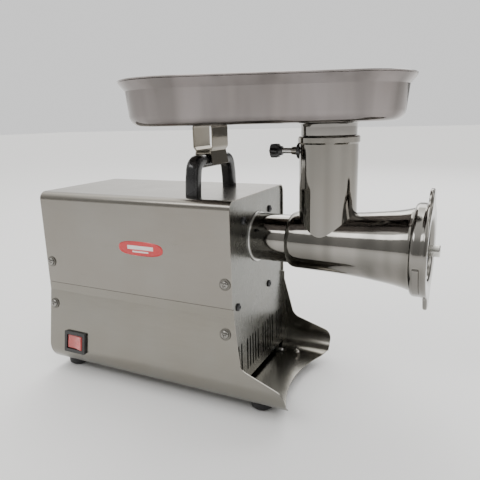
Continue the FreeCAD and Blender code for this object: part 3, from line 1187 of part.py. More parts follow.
def make_capacitor():
    """Run capacitor above the motor, in a clip that stands on the stator."""
    x0 = STATOR_X[0] - 2
    y = 0.0
    z = MOTOR_Z + STATOR_R + CAPACITOR_R + 4
    can = rod_x(x0, x0 + CAPACITOR_L, y, z, CAPACITOR_R)
    cap = rod_x(x0 + CAPACITOR_L, x0 + CAPACITOR_L + 3, y, z, CAPACITOR_R - 1.5)
    tabs = [block(x0 + CAPACITOR_L + 3, x0 + CAPACITOR_L + 10, y + s * 7 - 3, y + s * 7 + 3, z - 0.5, z + 0.5)
            for s in (1, -1)]
    save("run_capacitor", fuse([can, cap] + tabs))
    mid = (STATOR_X[0] + STATOR_X[1]) / 2
    band = tube_x(mid - 7, mid + 7, y, z, CAPACITOR_R + 1.5, CAPACITOR_R)
    foot = block(mid - 7, mid + 7, y - 14, y + 14, MOTOR_Z + STATOR_R - 3, z - CAPACITOR_R)
    foot = foot.cut(rod_x(mid - 8, mid + 8, 0, MOTOR_Z, STATOR_R)).cut(rod_x(mid - 8, mid + 8, y, z, CAPACITOR_R))
    save("capacitor_clip", fuse([band, foot]))


def make_terminals():
    """Four-way terminal block on the floor beside the motor."""
    x0 = 20.0
    y0 = 18.0
    body = block(x0, x0 + 26, y0, y0 + 14, FLOOR_TOP, FLOOR_TOP + 12)
    for k in range(4):
        body = body.cut(rod_y(y0 - 1, y0 + 15, x0 + 4 + 6 * k, FLOOR_TOP + 5, 1.6))
        body = body.cut(rod_z(FLOOR_TOP + 8, FLOOR_TOP + 13, x0 + 4 + 6 * k, y0 + 7, 1.8))
    save("terminal_block", body)


make_base()
make_cover()
make_front_panel()
make_rear_panel()
make_side_screws()
make_badge()
make_feet()
make_tab_screws()
make_panel_bolts()
make_switch()
make_handle()
make_tray_support()
make_gland()
make_head()
make_worm()
make_knife()
make_plate()
make_ring_nut()
make_tray()
make_tray_lock()
make_head_lock()
make_drive()
make_gearbox()
make_motor()
make_cradle()
make_capacitor()
make_terminals()
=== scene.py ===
import json
import math

import bmesh
import bpy
import numpy as np
from mathutils import Matrix, Vector


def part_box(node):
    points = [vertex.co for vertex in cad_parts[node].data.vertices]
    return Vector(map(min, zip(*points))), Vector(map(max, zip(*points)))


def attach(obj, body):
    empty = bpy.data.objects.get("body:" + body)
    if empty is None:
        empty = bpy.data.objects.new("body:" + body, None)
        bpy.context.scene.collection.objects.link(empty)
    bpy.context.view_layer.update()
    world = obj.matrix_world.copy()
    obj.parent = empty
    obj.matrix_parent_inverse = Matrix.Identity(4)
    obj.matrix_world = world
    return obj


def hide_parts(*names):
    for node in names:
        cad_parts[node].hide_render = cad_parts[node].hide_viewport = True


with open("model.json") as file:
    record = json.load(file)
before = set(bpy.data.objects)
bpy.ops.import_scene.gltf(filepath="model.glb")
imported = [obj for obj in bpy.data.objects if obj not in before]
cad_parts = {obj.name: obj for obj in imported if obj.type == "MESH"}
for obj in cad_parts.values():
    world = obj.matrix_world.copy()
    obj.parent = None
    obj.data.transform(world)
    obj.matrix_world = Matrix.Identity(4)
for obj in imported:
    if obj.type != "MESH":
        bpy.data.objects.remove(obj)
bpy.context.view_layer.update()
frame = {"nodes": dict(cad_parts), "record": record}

# All lengths below are millimetres in the machine's own frame: x from the rear edge of the body,
# y = 0 on the head's axis, z = 0 on the table.  ORIGIN is where that frame's zero lies.
MM = 0.001
ORIGIN = np.array([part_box("base_tray")[0].x,
                   (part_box("hole_plate")[0].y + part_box("hole_plate")[1].y) / 2, 0.0])


def low(node):
    """Lowest corner of a CAD node in millimetres, in the machine's frame."""
    return (np.array(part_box(node)[0]) - ORIGIN) / MM


def high(node):
    """Highest corner of a CAD node in millimetres, in the machine's frame."""
    return (np.array(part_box(node)[1]) - ORIGIN) / MM


def middle(node):
    """Centre of a CAD node's box in millimetres, in the machine's frame."""
    return (low(node) + high(node)) / 2


HEAD = middle("hole_plate")
AXIS_Z = HEAD[2]
TUBE_X = middle("tray_spout")[0]


# ---- meshes ----
def mesh_object(name, points, faces, sharp=38.0):
    """Object whose mesh has these points (mm) and faces; doubles merged, normals outward, edges
    sharper than the given angle left hard."""
    mesh = bpy.data.meshes.new(name)
    mesh.from_pydata((np.asarray(points, float) * MM + ORIGIN).tolist(), [],
                     [tuple(int(i) for i in f) for f in faces])
    work = bmesh.new()
    work.from_mesh(mesh)
    bmesh.ops.remove_doubles(work, verts=work.verts, dist=2e-6)
    bmesh.ops.dissolve_degenerate(work, edges=work.edges, dist=1e-7)
    bmesh.ops.recalc_face_normals(work, faces=work.faces)
    for edge in work.edges:
        edge.smooth = edge.calc_face_angle(0.0) < math.radians(sharp)
    for face in work.faces:
        face.smooth = True
    work.to_mesh(mesh)
    work.free()
    piece = bpy.data.objects.new(name, mesh)
    bpy.context.scene.collection.objects.link(piece)
    return piece


def grid_faces(rows, columns, close_rows=False, close_columns=False):
    """Quads between neighbours of a rows x columns grid of points."""
    r = np.arange(rows if close_rows else rows - 1)
    c = np.arange(columns if close_columns else columns - 1)
    i, j = np.meshgrid(r, c, indexing="ij")
    i1 = (i + 1) % rows
    j1 = (j + 1) % columns
    return np.stack([i * columns + j, i * columns + j1, i1 * columns + j1, i1 * columns + j], -1
                    ).reshape(-1, 4)


def joined(parts):
    """Several (points, faces) pairs as one pair."""
    points = []
    faces = []
    count = 0
    for p, f in parts:
        points.append(p)
        faces += (np.asarray(f) + count).tolist()
        count += len(p)
    return np.concatenate(points), faces


def rounded(corners, radius, steps=6):
    """Open line through 2-D corners, with each inner corner replaced by an arc that touches both
    runs; radius is one number or one per inner corner."""
    corners = np.asarray(corners, float)
    radii = np.broadcast_to(radius, len(corners) - 2)
    line = [corners[:1]]
    for k, r in enumerate(radii, 1):
        a, b, c = corners[k - 1:k + 2]
        u = (a - b) / np.linalg.norm(a - b)
        v = (c - b) / np.linalg.norm(c - b)
        half = math.acos(float(np.clip(u @ v, -1, 1))) / 2
        if r <= 0 or half > math.pi / 2 - 0.02:
            line.append(b[None])
            continue
        reach = min(r / math.tan(half), 0.49 * np.linalg.norm(a - b), 0.49 * np.linalg.norm(c - b))
        r = reach * math.tan(half)
        centre = b + (u + v) / np.linalg.norm(u + v) * r / math.sin(half)
        start = b + u * reach - centre
        turn = math.pi - 2 * half
        if u[0] * v[1] - u[1] * v[0] > 0:
            turn = -turn
        t = np.linspace(0, turn, steps)[:, None]
        line.append(centre + start * np.cos(t) + np.array([-start[1], start[0]]) * np.sin(t))
    line.append(corners[-1:])
    return np.concatenate(line)


def turned(profile, centre, axis, around=96):
    """Profile of (distance along axis, radius) turned a full circle about the axis through centre."""
    profile = np.asarray(profile, float)
    t = np.linspace(0, 2 * math.pi, around, endpoint=False)
    along = {"x": (1, 0, 0), "y": (0, 1, 0), "z": (0, 0, 1)}[axis]
    side = {"x": (0, 1, 0), "y": (0, 0, 1), "z": (1, 0, 0)}[axis]
    up = np.cross(along, side)
    ring = np.cos(t)[:, None] * np.array(side) + np.sin(t)[:, None] * up
    points = (profile[:, None, :1] * np.array(along) + profile[:, None, 1:] * ring[None]
              + np.array(centre))
    return points.reshape(-1, 3), grid_faces(len(profile), around, close_columns=True)


def swept(section, frames):
    """Closed 2-D section carried along frames of (origin, first axis, second axis); ends capped."""
    section = np.asarray(section, float)
    origin, first, second = (np.asarray(f, float) for f in frames)
    points = (origin[:, None] + section[None, :, :1] * first[:, None]
              + section[None, :, 1:] * second[:, None])
    n = len(section)
    faces = grid_faces(len(origin), n, close_columns=True).tolist()
    last = (len(origin) - 1) * n
    faces.append(list(range(n - 1, -1, -1)))
    faces.append(list(range(last, last + n)))
    return points.reshape(-1, 3), faces


def finish(piece, body, slot, material, *nodes):
    """Put the material on, fix the piece to its body and hide the CAD parts it stands for."""
    piece.data.materials.clear()
    piece.data.materials.append(material)
    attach(piece, body)
    if nodes:
        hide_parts(*nodes)
    return piece


def bevelled(piece, width, segments=3, angle=35.0):
    """Round the piece's hard edges by that width, with flat faces kept flat in the shading."""
    bevel = piece.modifiers.new("edge", "BEVEL")
    bevel.width = width * MM
    bevel.segments = segments
    bevel.limit_method = "ANGLE"
    bevel.angle_limit = math.radians(angle)
    bevel.harden_normals = True
    return piece


# ---- materials ----
class Paint:
    """Small helper that builds one node material: a Principled shader and textures in mm scale."""

    def __init__(self, name, color, metallic, roughness):
        self.material = bpy.data.materials.new(name)
        self.material.use_nodes = True
        self.nodes = self.material.node_tree.nodes
        self.links = self.material.node_tree.links
        self.shader = self.nodes["Principled BSDF"]
        self.shader.inputs["Base Color"].default_value = (*color, 1)
        self.shader.inputs["Metallic"].default_value = metallic
        self.shader.inputs["Roughness"].default_value = roughness
        self.place = self.nodes.new("ShaderNodeTexCoord")

    def add(self, kind, **settings):
        node = self.nodes.new(kind)
        for key, value in settings.items():
            if key in node.inputs:
                node.inputs[key].default_value = value
            else:
                setattr(node, key, value)
        return node

    def noise(self, stretch, scale, detail=3.0, rough=0.55):
        """Noise in Object coordinates, with the pattern's size along x, y, z in mm times stretch."""
        mapping = self.add("ShaderNodeMapping")
        mapping.inputs["Scale"].default_value = stretch
        self.links.new(self.place.outputs["Object"], mapping.inputs["Vector"])
        noise = self.add("ShaderNodeTexNoise", Scale=scale, Detail=detail, Roughness=rough)
        self.links.new(mapping.outputs["Vector"], noise.inputs["Vector"])
        return noise.outputs["Fac"]

    def ranged(self, value, low_out, high_out, low_in=0.3, high_in=0.7):
        """The value, stretched from one range to another."""
        node = self.add("ShaderNodeMapRange")
        node.inputs["From Min"].default_value = low_in
        node.inputs["From Max"].default_value = high_in
        node.inputs["To Min"].default_value = low_out
        node.inputs["To Max"].default_value = high_out
        self.links.new(value, node.inputs["Value"])
        return node.outputs["Result"]

    def ramp(self, value, stops):
        """Colour ramp over a value; stops are (position, (r, g, b))."""
        node = self.add("ShaderNodeValToRGB")
        elements = node.color_ramp.elements
        while len(elements) < len(stops):
            elements.new(0.5)
        for element, (position, color) in zip(elements, stops):
            element.position = position
            element.color = (*color, 1)
        self.links.new(value, node.inputs["Fac"])
        return node.outputs["Color"]

    def mix(self, factor, first, second):
        """Blend of two colours, each an output or a fixed (r, g, b)."""
        node = self.add("ShaderNodeMix", data_type="RGBA")
        for socket, value in ((node.inputs[0], factor), (node.inputs[6], first),
                              (node.inputs[7], second)):
            if isinstance(value, tuple):
                socket.default_value = (*value, 1)
            elif isinstance(value, float):
                socket.default_value = value
            else:
                self.links.new(value, socket)
        return node.outputs[2]

    def bump(self, height, strength, distance):
        node = self.add("ShaderNodeBump", Strength=strength, Distance=distance * MM)
        self.links.new(height, node.inputs["Height"])
        previous = self.shader.inputs["Normal"]
        if previous.is_linked:
            self.links.new(previous.links[0].from_socket, node.inputs["Normal"])
        self.links.new(node.outputs["Normal"], previous)

    def set(self, socket, value):
        self.links.new(value, self.shader.inputs[socket])


def steel(name, color, roughness, grain=(1, 1, 1), grain_scale=700.0, grain_depth=0.012,
          smudge=0.05, wave=0.0, warm=0.03, bands=0.0):
    """Metal with a fine grain stretched along one direction, smudges that change its gloss, slight
    colour drift and, for polished pieces, a long gentle waviness; bands adds soft upright
    darker streaks of up to that share, which stand in for a room's uneven reflections."""
    p = Paint(name, color, 1.0, roughness)
    dull = tuple(c * (1 - warm * (1 + k)) for k, c in enumerate(color))
    cloud = p.noise((1, 1, 1), 14.0, 4.0)
    shade = p.mix(p.ranged(cloud, 0.0, 1.0), dull, tuple(min(1, c * 1.03) for c in color))
    if bands:
        # painted reflection: soft upright darker streaks in the base colour stand in for a room's uneven
        # reflections
        painted_reflection_streak = p.noise((1, 1, 0.02), 34.0, 2.0, 0.5)
        shade = p.mix(p.ranged(painted_reflection_streak, 0.0, bands, 0.38, 0.60), shade, (0.02, 0.022, 0.016))
    p.set("Base Color", shade)
    fine = p.noise(grain, grain_scale, 2.0, 0.6)
    smudges = p.noise((1, 1, 1.6), 32.0, 5.0, 0.62)
    total = p.add("ShaderNodeMath", operation="ADD")
    p.links.new(p.ranged(smudges, roughness - smudge, roughness + smudge), total.inputs[0])
    p.links.new(p.ranged(fine, -0.025, 0.025), total.inputs[1])
    p.set("Roughness", total.outputs[0])
    if grain_depth:
        p.bump(fine, 0.35, grain_depth)
    if wave:
        p.bump(p.noise((1, 1, 1), 22.0, 1.0, 0.4), 0.6, wave)
    return p.material


def plastic(name, color, roughness, grain=0.02, coat=0.0):
    """Moulded plastic or rubber with a fine texture, faint wear and dust."""
    p = Paint(name, color, 0.0, roughness)
    wear = p.noise((1, 1, 1), 60.0, 5.0, 0.65)
    worn = tuple(min(1.0, c * 1.5 + 0.012) for c in color)
    p.set("Base Color", p.mix(p.ranged(wear, 0.0, 1.0, 0.45, 0.8), tuple(color), worn))
    p.set("Roughness", p.ranged(p.noise((1, 1, 1), 40.0, 4.0), roughness - 0.07, roughness + 0.09))
    p.bump(p.noise((1, 1, 1), 1500.0, 2.0, 0.7), 0.3, grain)
    p.shader.inputs["Coat Weight"].default_value = coat
    return p.material


ALONG_X = (0.06, 1.0, 1.0)
ALONG_Z = (1.0, 1.0, 0.06)
MATERIALS = {
    "cover_steel": steel("cover_steel", (0.24, 0.229, 0.207), 0.24, ALONG_X, 500.0, 0.0008, 0.018),
    "base_steel": steel("base_steel", (0.232, 0.224, 0.20), 0.22, ALONG_X, 500.0, 0.0008, 0.02),
    "panel_steel": steel("panel_steel", (0.205, 0.208, 0.196), 0.28, ALONG_Z, 500.0, 0.0015, 0.03),
    "rear_steel": steel("rear_steel", (0.205, 0.208, 0.196), 0.28, ALONG_Z, 500.0, 0.0015, 0.03),
    # tray_steel: bands paints reflection streaks into the base colour
    "tray_steel": steel("tray_steel", (0.235, 0.215, 0.212), 0.13, (1, 1, 1), 300.0, 0.0, 0.02, 0.03,
                        bands=0.34),
    "spout_steel": steel("spout_steel", (0.21, 0.204, 0.194), 0.12, (1, 1, 1), 300.0, 0.0, 0.02, 0.02),
    # head_polished: bands paints reflection streaks into the base colour
    "head_polished": steel("head_polished", (0.27, 0.26, 0.24), 0.09, (1, 1, 1), 300.0, 0.0, 0.02,
                           0.05, bands=0.38),
    "ring_polished": steel("ring_polished", (0.225, 0.219, 0.205), 0.10, (1, 1, 1), 300.0, 0.0, 0.02,
                           0.04),
    "support_steel": steel("support_steel", (0.20, 0.185, 0.155), 0.10, (1, 1, 1), 300.0, 0.0, 0.03),
    "washer_steel": steel("washer_steel", (0.17, 0.165, 0.15), 0.36, (1, 1, 1), 500.0, 0.01),
    "side_screw_steel": steel("side_screw_steel", (0.26, 0.255, 0.24), 0.22, (1, 1, 1), 500.0, 0.01),
    "gearbox_aluminium": steel("gearbox_aluminium", (0.56, 0.56, 0.545), 0.34, (1, 1, 1), 300.0, 0.02),
    "dome_nut_steel": steel("dome_nut_steel", (0.42, 0.41, 0.39), 0.10),
    "bush_brass": steel("bush_brass", (0.62, 0.45, 0.20), 0.28, (1, 1, 1), 400.0, 0.01),
    "winding_copper": steel("winding_copper", (0.50, 0.18, 0.07), 0.35, ALONG_X, 300.0, 0.05),
    "stator_iron": steel("stator_iron", (0.16, 0.16, 0.17), 0.5, (8.0, 0.2, 0.2), 200.0, 0.05),
    "rotor_iron": steel("rotor_iron", (0.22, 0.22, 0.23), 0.4, (8.0, 0.2, 0.2), 200.0, 0.03),
    "worm_steel": steel("worm_steel", (0.60, 0.60, 0.58), 0.25, (1, 1, 1), 150.0, 0.03),
    "plate_steel": steel("plate_steel", (0.42, 0.42, 0.41), 0.30, (1, 1, 1), 400.0, 0.01),
    "switch_black": plastic("switch_black", (0.018, 0.018, 0.018), 0.34),
    "rocker_red": plastic("rocker_red", (0.50, 0.085, 0.08), 0.22, 0.004, 0.4),
    "handle_black": plastic("handle_black", (0.012, 0.012, 0.013), 0.24, 0.02, 0.25),
    "feet_rubber": plastic("feet_rubber", (0.012, 0.012, 0.013), 0.55, 0.05),
    "gland_black": plastic("gland_black", (0.02, 0.02, 0.02), 0.4),
    "tray_knob_black": plastic("tray_knob_black", (0.012, 0.012, 0.013), 0.30, 0.01, 0.2),
    "panel_bolt_black": plastic("panel_bolt_black", (0.02, 0.02, 0.022), 0.38, 0.01),
    "capacitor_white": plastic("capacitor_white", (0.66, 0.66, 0.63), 0.4),
}
SAME_AS = {"gland_nut_black": "gland_black", "head_knob_black": "tray_knob_black",
           "fan_plastic": "gland_black", "terminal_white": "capacitor_white",
           "seal_rubber": "feet_rubber", "knife_steel": "plate_steel"}


def material_for(slot_name, record_entry):
    """The slot's own material, a sister material, or a steel or casting in the record's colour."""
    if slot_name in MATERIALS:
        return MATERIALS[slot_name]
    if slot_name in SAME_AS:
        return MATERIALS[SAME_AS[slot_name]]
    color = tuple(record_entry["base_color"][:3])
    cast = record_entry["class"] in ("aluminium", "cast_iron")
    MATERIALS[slot_name] = steel(slot_name, color, 0.42 if cast else 0.26, (1, 1, 1),
                                 180.0 if cast else 500.0, 0.08 if cast else 0.01)
    return MATERIALS[slot_name]


def badge_enamel():
    """Red enamel under clear coat with two plain pale bars."""
    p = Paint("badge", (0.55, 0.016, 0.02), 0.1, 0.22)
    p.shader.inputs["Coat Weight"].default_value = 0.5
    centre = middle("badge_plate") * MM + ORIGIN
    half = (high("badge_plate") - low("badge_plate")) / 2 * MM

    def share(axis, shift):
        """Distance from a line across the plate, as a share of its half size."""
        mapping = p.add("ShaderNodeMapping")
        scale = [0.0, 0.0, 0.0]
        scale[axis] = 1 / half[axis]
        mapping.inputs["Scale"].default_value = scale
        mapping.inputs["Location"].default_value[axis] = -centre[axis] / half[axis] - shift
        p.links.new(p.place.outputs["Object"], mapping.inputs["Vector"])
        length = p.add("ShaderNodeVectorMath", operation="LENGTH")
        p.links.new(mapping.outputs["Vector"], length.inputs[0])
        return length.outputs["Value"]

    def bar(shift, tall, wide):
        both = p.add("ShaderNodeMath", operation="MULTIPLY")
        p.links.new(p.ranged(share(2, shift), 1.0, 0.0, tall, tall + 0.07), both.inputs[0])
        p.links.new(p.ranged(share(0, 0.0), 1.0, 0.0, wide, wide + 0.03), both.inputs[1])
        return both.outputs[0]

    red = p.mix(p.ranged(p.noise((1, 1, 1), 40.0), 0.0, 1.0), (0.50, 0.012, 0.018), (0.60, 0.022, 0.028))
    first = p.mix(bar(0.12, 0.22, 0.56), red, (0.72, 0.70, 0.68))
    p.set("Base Color", p.mix(bar(-0.42, 0.07, 0.34), first, (0.72, 0.70, 0.68)))
    p.set("Roughness", p.ranged(p.noise((1, 1, 1), 60.0), 0.16, 0.28))
    return p.material


MATERIALS["badge"] = badge_enamel()
records = {m["slot"]: m for m in frame["record"]["materials"]}
slots = {s["node"]: s["material_slot"] for s in frame["record"]["subparts"]}
for node, thing in frame["nodes"].items():
    paint = material_for(slots[node], records[slots[node]])
    thing.data.materials.clear()
    thing.data.materials.append(paint)


# ---- feed tray ----
TRAY_TURN = math.radians(22.0)
TRAY_HALF = (137.0, 92.0)
TRAY_CORNER = 61.0
TRAY_BACK = 63.0
TRAY_FLOOR = low("feed_tray")[2]
TRAY_RIM = high("feed_tray")[2]


def tray_outline(inset, around):
    """Rounded rectangle drawn in by inset, as points and evenly spread: each quarter is an arc of
    radius corner - inset about a fixed centre, with straight runs between the arcs."""
    corner = TRAY_CORNER - inset
    cx = TRAY_HALF[0] - TRAY_CORNER
    cy = TRAY_HALF[1] - TRAY_CORNER
    arc = np.linspace(0, math.pi / 2, around // 4)
    pieces = []
    for quarter in range(4):
        t = arc + quarter * math.pi / 2
        sx = 1 if quarter in (0, 3) else -1
        sy = 1 if quarter in (0, 1) else -1
        pieces.append(np.stack([sx * cx + corner * np.cos(t), sy * cy + corner * np.sin(t)], -1))
        ends = pieces[-1][-1]
        nxt = np.array([(-cx if quarter == 0 else cx) if quarter in (0, 2) else ends[0],
                        (-cy if quarter == 1 else cy) if quarter in (1, 3) else ends[1]])
        run = np.linspace(0, 1, 10)[1:-1, None]
        pieces.append(ends + (nxt - ends) * run)
    return np.concatenate(pieces)


def tray_to_machine(flat, z):
    """Turn tray coordinates about the spout's axis and set the height."""
    c, s = math.cos(TRAY_TURN), math.sin(TRAY_TURN)
    u = flat[:, 0] - TRAY_BACK
    v = flat[:, 1]
    return np.stack([TUBE_X + u * c - v * s, u * s + v * c, np.full(len(u), z)], -1)


def make_tray():
    """Pan: the outline carried down a profile of (inset, height), outside and inside, as one closed
    skin, with the floor pulled in to the spout's hole by blending the outline into a circle."""
    t = 1.0
    h = TRAY_RIM - TRAY_FLOOR
    outer = rounded([(0.0, h - 2.1), (2.6, h - 1.4), (5.6, h - 4.0), (9.6, 0.0), (31.0, 0.0)],
                    (1.0, 2.6, 10.5), 9)[::-1]
    inner = rounded([(31.0, t), (9.6 + t, t), (5.6 + t, h - 4.2), (3.0, h - 0.35), (0.9, h + 0.0),
                     (0.0, h - 0.6), (0.0, h - 2.1)], (9.5, 2.2, 1.2, 0.5, 0.3), 9)
    profile = np.concatenate([outer, inner[:-1]])
    rows = [tray_to_machine(tray_outline(i, 128), TRAY_FLOOR + z) for i, z in profile]
    hole = 24.1
    count = len(rows[0])

    def floor_rows(z):
        edge = tray_outline(31.0, 128)
        around = edge - np.array([TRAY_BACK, 0.0])
        direction = around / np.linalg.norm(around, axis=1)[:, None]
        circle = direction * hole + np.array([TRAY_BACK, 0.0])
        share = np.linspace(0, 1, 7)[1:, None, None]
        blend = edge[None] + (circle - edge)[None] * share
        return [tray_to_machine(b, z) for b in blend]

    rows = floor_rows(TRAY_FLOOR)[::-1] + rows + floor_rows(TRAY_FLOOR + t)
    points = np.concatenate(rows)
    tray = mesh_object("tray_pan", points, grid_faces(len(rows), count, True, True), 60.0)
    return finish(tray, "tray", "tray_steel", MATERIALS["tray_steel"], "feed_tray")


def make_spout():
    """Spout: a profile of wall, collar and fillet under the tray, turned about the tube's axis."""
    z0 = low("tray_spout")[2]
    top = high("tray_spout")[2]
    seat = high("head_barrel")[2] + 0.3
    outer = rounded([(z0, 24.1), (z0, 25.7), (seat, 25.7), (seat, 27.9), (top - 4.2, 27.9),
                     (top - 1.4, 28.9), (top, 31.4), (top, 24.1)],
                    (0.5, 0.2, 0.6, 2.0, 2.0, 0.1), 5)
    points, faces = turned(np.concatenate([outer, outer[:1]]), (TUBE_X, 0, 0), "z", 112)
    return finish(mesh_object("spout", points, faces), "tray", "spout_steel",
                  MATERIALS["spout_steel"], "tray_spout")


# ---- ring nut ----
def make_ring():
    """Ring: around the axis, a closed profile of (x, radius); at the two lugs the front plate's
    radius grows by a smooth function of angle, and the grip pads raise the outer wall."""
    x0 = low("ring_nut")[0]
    x1 = high("ring_nut")[0]
    around = 720
    t = np.linspace(0, 2 * math.pi, around, endpoint=False)
    to_lug = np.abs(t % math.pi - math.pi / 2)
    lug = 13.8 / (1 + np.exp((to_lug - 0.215) / 0.042))
    side = np.arctan2(np.sin(t + 2.62), np.cos(t + 2.62))
    other = np.arctan2(np.sin(t - 0.52), np.cos(t - 0.52))
    pad = sum(1 / (1 + np.exp((np.abs(d) - 0.36) / 0.008)) for d in (side, other)) * 1.25
    body_r = 46.1
    profile = [  # x, radius, share of lug, share of pad
        (x0, 41.0, 0, 0), (x0, 42.4, 0, 0), (x0 + 0.8, 44.6, 0, 0), (x0 + 2.4, 45.7, 0, 0),
        (x0 + 4.0, body_r, 0, 0), (x0 + 4.3, body_r, 0, 1), (x1 - 6.6, body_r, 0, 1),
        (x1 - 6.3, body_r, 0, 0), (x1 - 5.9, body_r + 0.1, 0.03, 0), (x1 - 5.2, body_r + 0.2, 0.12, 0),
        (x1 - 4.6, body_r + 0.3, 0.35, 0), (x1 - 4.3, body_r + 0.4, 0.75, 0),
        (x1 - 4.1, body_r + 0.5, 0.95, 0), (x1 - 3.4, body_r + 0.6, 1.0, 0),
        (x1 - 1.2, body_r + 0.6, 1.0, 0), (x1 - 0.4, body_r + 0.2, 0.98, 0),
        (x1, body_r - 0.9, 0.93, 0), (x1 - 0.1, 44.0, 0.4, 0), (x1 - 0.1, 41.0, 0, 0),
        (x1 - 0.3, 36.0, 0, 0),
        (x1 - 0.6, 33.0, 0, 0), (x1 - 1.5, 31.2, 0, 0), (x1 - 2.6, 30.4, 0, 0), (x1 - 4.4, 30.0, 0, 0),
        (x1 - 4.8, 30.4, 0, 0), (x1 - 4.8, 40.9, 0, 0), (x0, 40.9, 0, 0), (x0, 41.0, 0, 0)]
    profile = np.array(profile, float)
    radius = profile[:, 1:2] + profile[:, 2:3] * lug[None] + profile[:, 3:4] * pad[None]
    points = np.stack([np.repeat(profile[:, :1], around, 1), radius * np.cos(t)[None],
                       radius * np.sin(t)[None] + AXIS_Z], -1).reshape(-1, 3)
    ring = mesh_object("ring_nut_shaped", points, grid_faces(len(profile), around, False, True), 50.0)
    return finish(ring, "ring", "ring_polished", MATERIALS["ring_polished"], "ring_nut")


# ---- handle ----
def make_handle():
    """Arch: a rounded section carried along a line up one leg, over the bar and down the other;
    the legs swell a little at the foot."""
    lo = low("carry_handle")
    hi = high("carry_handle")
    x = (lo[0] + hi[0]) / 2
    inset = 4.6
    half = (hi[1] - lo[1]) / 2 - 7.7
    top = hi[2] - 7.25
    line = rounded([(-half - 0.4, lo[2]), (-half + 0.9, lo[2] + 16), (-half + inset, top),
                    (half - inset, top), (half - 0.9, lo[2] + 16), (half + 0.4, lo[2])],
                   (30, 12.5, 12.5, 30), 14)
    steps = np.linspace(0, 1, 5)[1:]
    runs = [a + (b - a) * steps[:, None] for a, b in zip(line[:-1], line[1:])]
    line = np.concatenate([line[:1]] + runs)
    way = np.gradient(line, axis=0)
    way /= np.linalg.norm(way, axis=1)[:, None]
    n = len(line)
    origin = np.stack([np.full(n, x), line[:, 0], line[:, 1]], -1)
    across = np.tile([1.0, 0, 0], (n, 1))
    normal = np.stack([np.zeros(n), -way[:, 1], way[:, 0]], -1)
    normal[0] = normal[-1] = (0, -1, 0)
    normal[-1] = (0, 1, 0)
    a = np.linspace(0, 2 * math.pi, 40, endpoint=False)
    power = 0.62
    section = np.stack([7.75 * np.sign(np.cos(a)) * np.abs(np.cos(a)) ** power,
                        7.2 * np.sign(np.sin(a)) * np.abs(np.sin(a)) ** power], -1)
    points, faces = swept(section, (origin, across, normal))
    handle = mesh_object("handle_grip", points, faces, 50.0)
    return finish(handle, "body", "handle_black", MATERIALS["handle_black"], "carry_handle")


# ---- knobs, screws, feet ----
def lobed_knob(name, centre, axis, way, length, radius, lobes, body, slot, node):
    """Knob: radius waves with the angle, r (1 + a cos(lobes t)), and shrinks to rounded ends."""
    around = lobes * 16
    t = np.linspace(0, 2 * math.pi, around, endpoint=False)
    prof = rounded([(0, 0), (0, radius * 0.80), (length * 0.10, radius), (length * 0.62, radius),
                    (length * 0.80, radius * 0.62), (length, radius * 0.58), (length, 0)],
                   (radius * 0.12, radius * 0.3, radius * 0.3, radius * 0.2, 0.5), 6)
    depth = np.clip((prof[:, 1] / radius - 0.62) / 0.3, 0, 1)
    r = prof[:, 1:2] * (1 + depth[:, None] * 0.11 * (np.cos(lobes * t)[None] - 1))
    h = way * prof[:, :1] + np.zeros_like(r)
    if axis == "x":
        points = np.stack([h, r * np.cos(t)[None], r * np.sin(t)[None]], -1)
    else:
        points = np.stack([r * np.cos(t)[None], h, r * np.sin(t)[None]], -1)
    points = points.reshape(-1, 3) + np.array(centre)
    knob = mesh_object(name, points, grid_faces(len(prof), around, False, True), 55.0)
    return finish(knob, body, slot, MATERIALS["tray_knob_black"], node)


def make_knobs():
    """Tray lock knob on the rear of the tube, and head lock knob on the far side of the body."""
    lo = low("tray_lock_knob")
    hi = high("tray_lock_knob")
    mid = middle("tray_lock_knob")
    lobed_knob("tray_lock_grip", (lo[0], mid[1], mid[2]), "x", 1, hi[0] - lo[0], 8.1, 6, "tray_lock",
               "tray_knob_black", "tray_lock_knob")
    lo = low("head_lock_knob")
    hi = high("head_lock_knob")
    mid = middle("head_lock_knob")
    lobed_knob("head_lock_grip", (mid[0], hi[1], mid[2]), "y", -1, hi[1] - lo[1], 12.9, 7,
               "head_lock", "head_knob_black", "head_lock_knob")
    x = TUBE_X - 29.6
    z = middle("tray_lock_stud")[2]
    washer = rounded([(x - 2.6, 3.1), (x - 2.6, 8.4), (x + 1.2, 9.0), (x + 1.2, 3.1)], (0.8, 0.3), 5)
    points, faces = turned(np.concatenate([washer, washer[:1]]), (0, 0, z), "x", 64)
    finish(mesh_object("lock_pad", points, faces), "body", "handle_black", MATERIALS["handle_black"])


WALL_LEAN = math.radians(9.138)        # lean of the base's walls below the height WALL_TURN_Z
WALL_TURN_Z = 104.0
BADGE_HALF_T = 0.4
BODY_HALF = -middle("badge_plate")[1] - BADGE_HALF_T
WASHER_R = 6.4
WASHER_T = 1.0
SCREW_HEAD_R = 4.4
SCREW_HEAD_H = 2.4
SEAT_GAP = 0.02                         # how far a washer stands off the wall
LOW_SCREW_Z = 87.0


def on_wall(points, x, z, side, seat):
    """Stand pieces drawn as (along x, up, outward) on the outer wall, side +1 far or -1 near, seat mm
    off it; below the turn of the wall they lean with it."""
    points = np.asarray(points, float)
    lean = WALL_LEAN if z < WALL_TURN_Z else 0.0
    half = BODY_HALF + max(0.0, WALL_TURN_Z - z) * math.tan(WALL_LEAN)
    out = points[:, 2] + seat
    y = half + out * math.cos(lean) - points[:, 1] * math.sin(lean)
    up = z + out * math.sin(lean) + points[:, 1] * math.cos(lean)
    return np.stack([x + points[:, 0], side * y, up], -1)


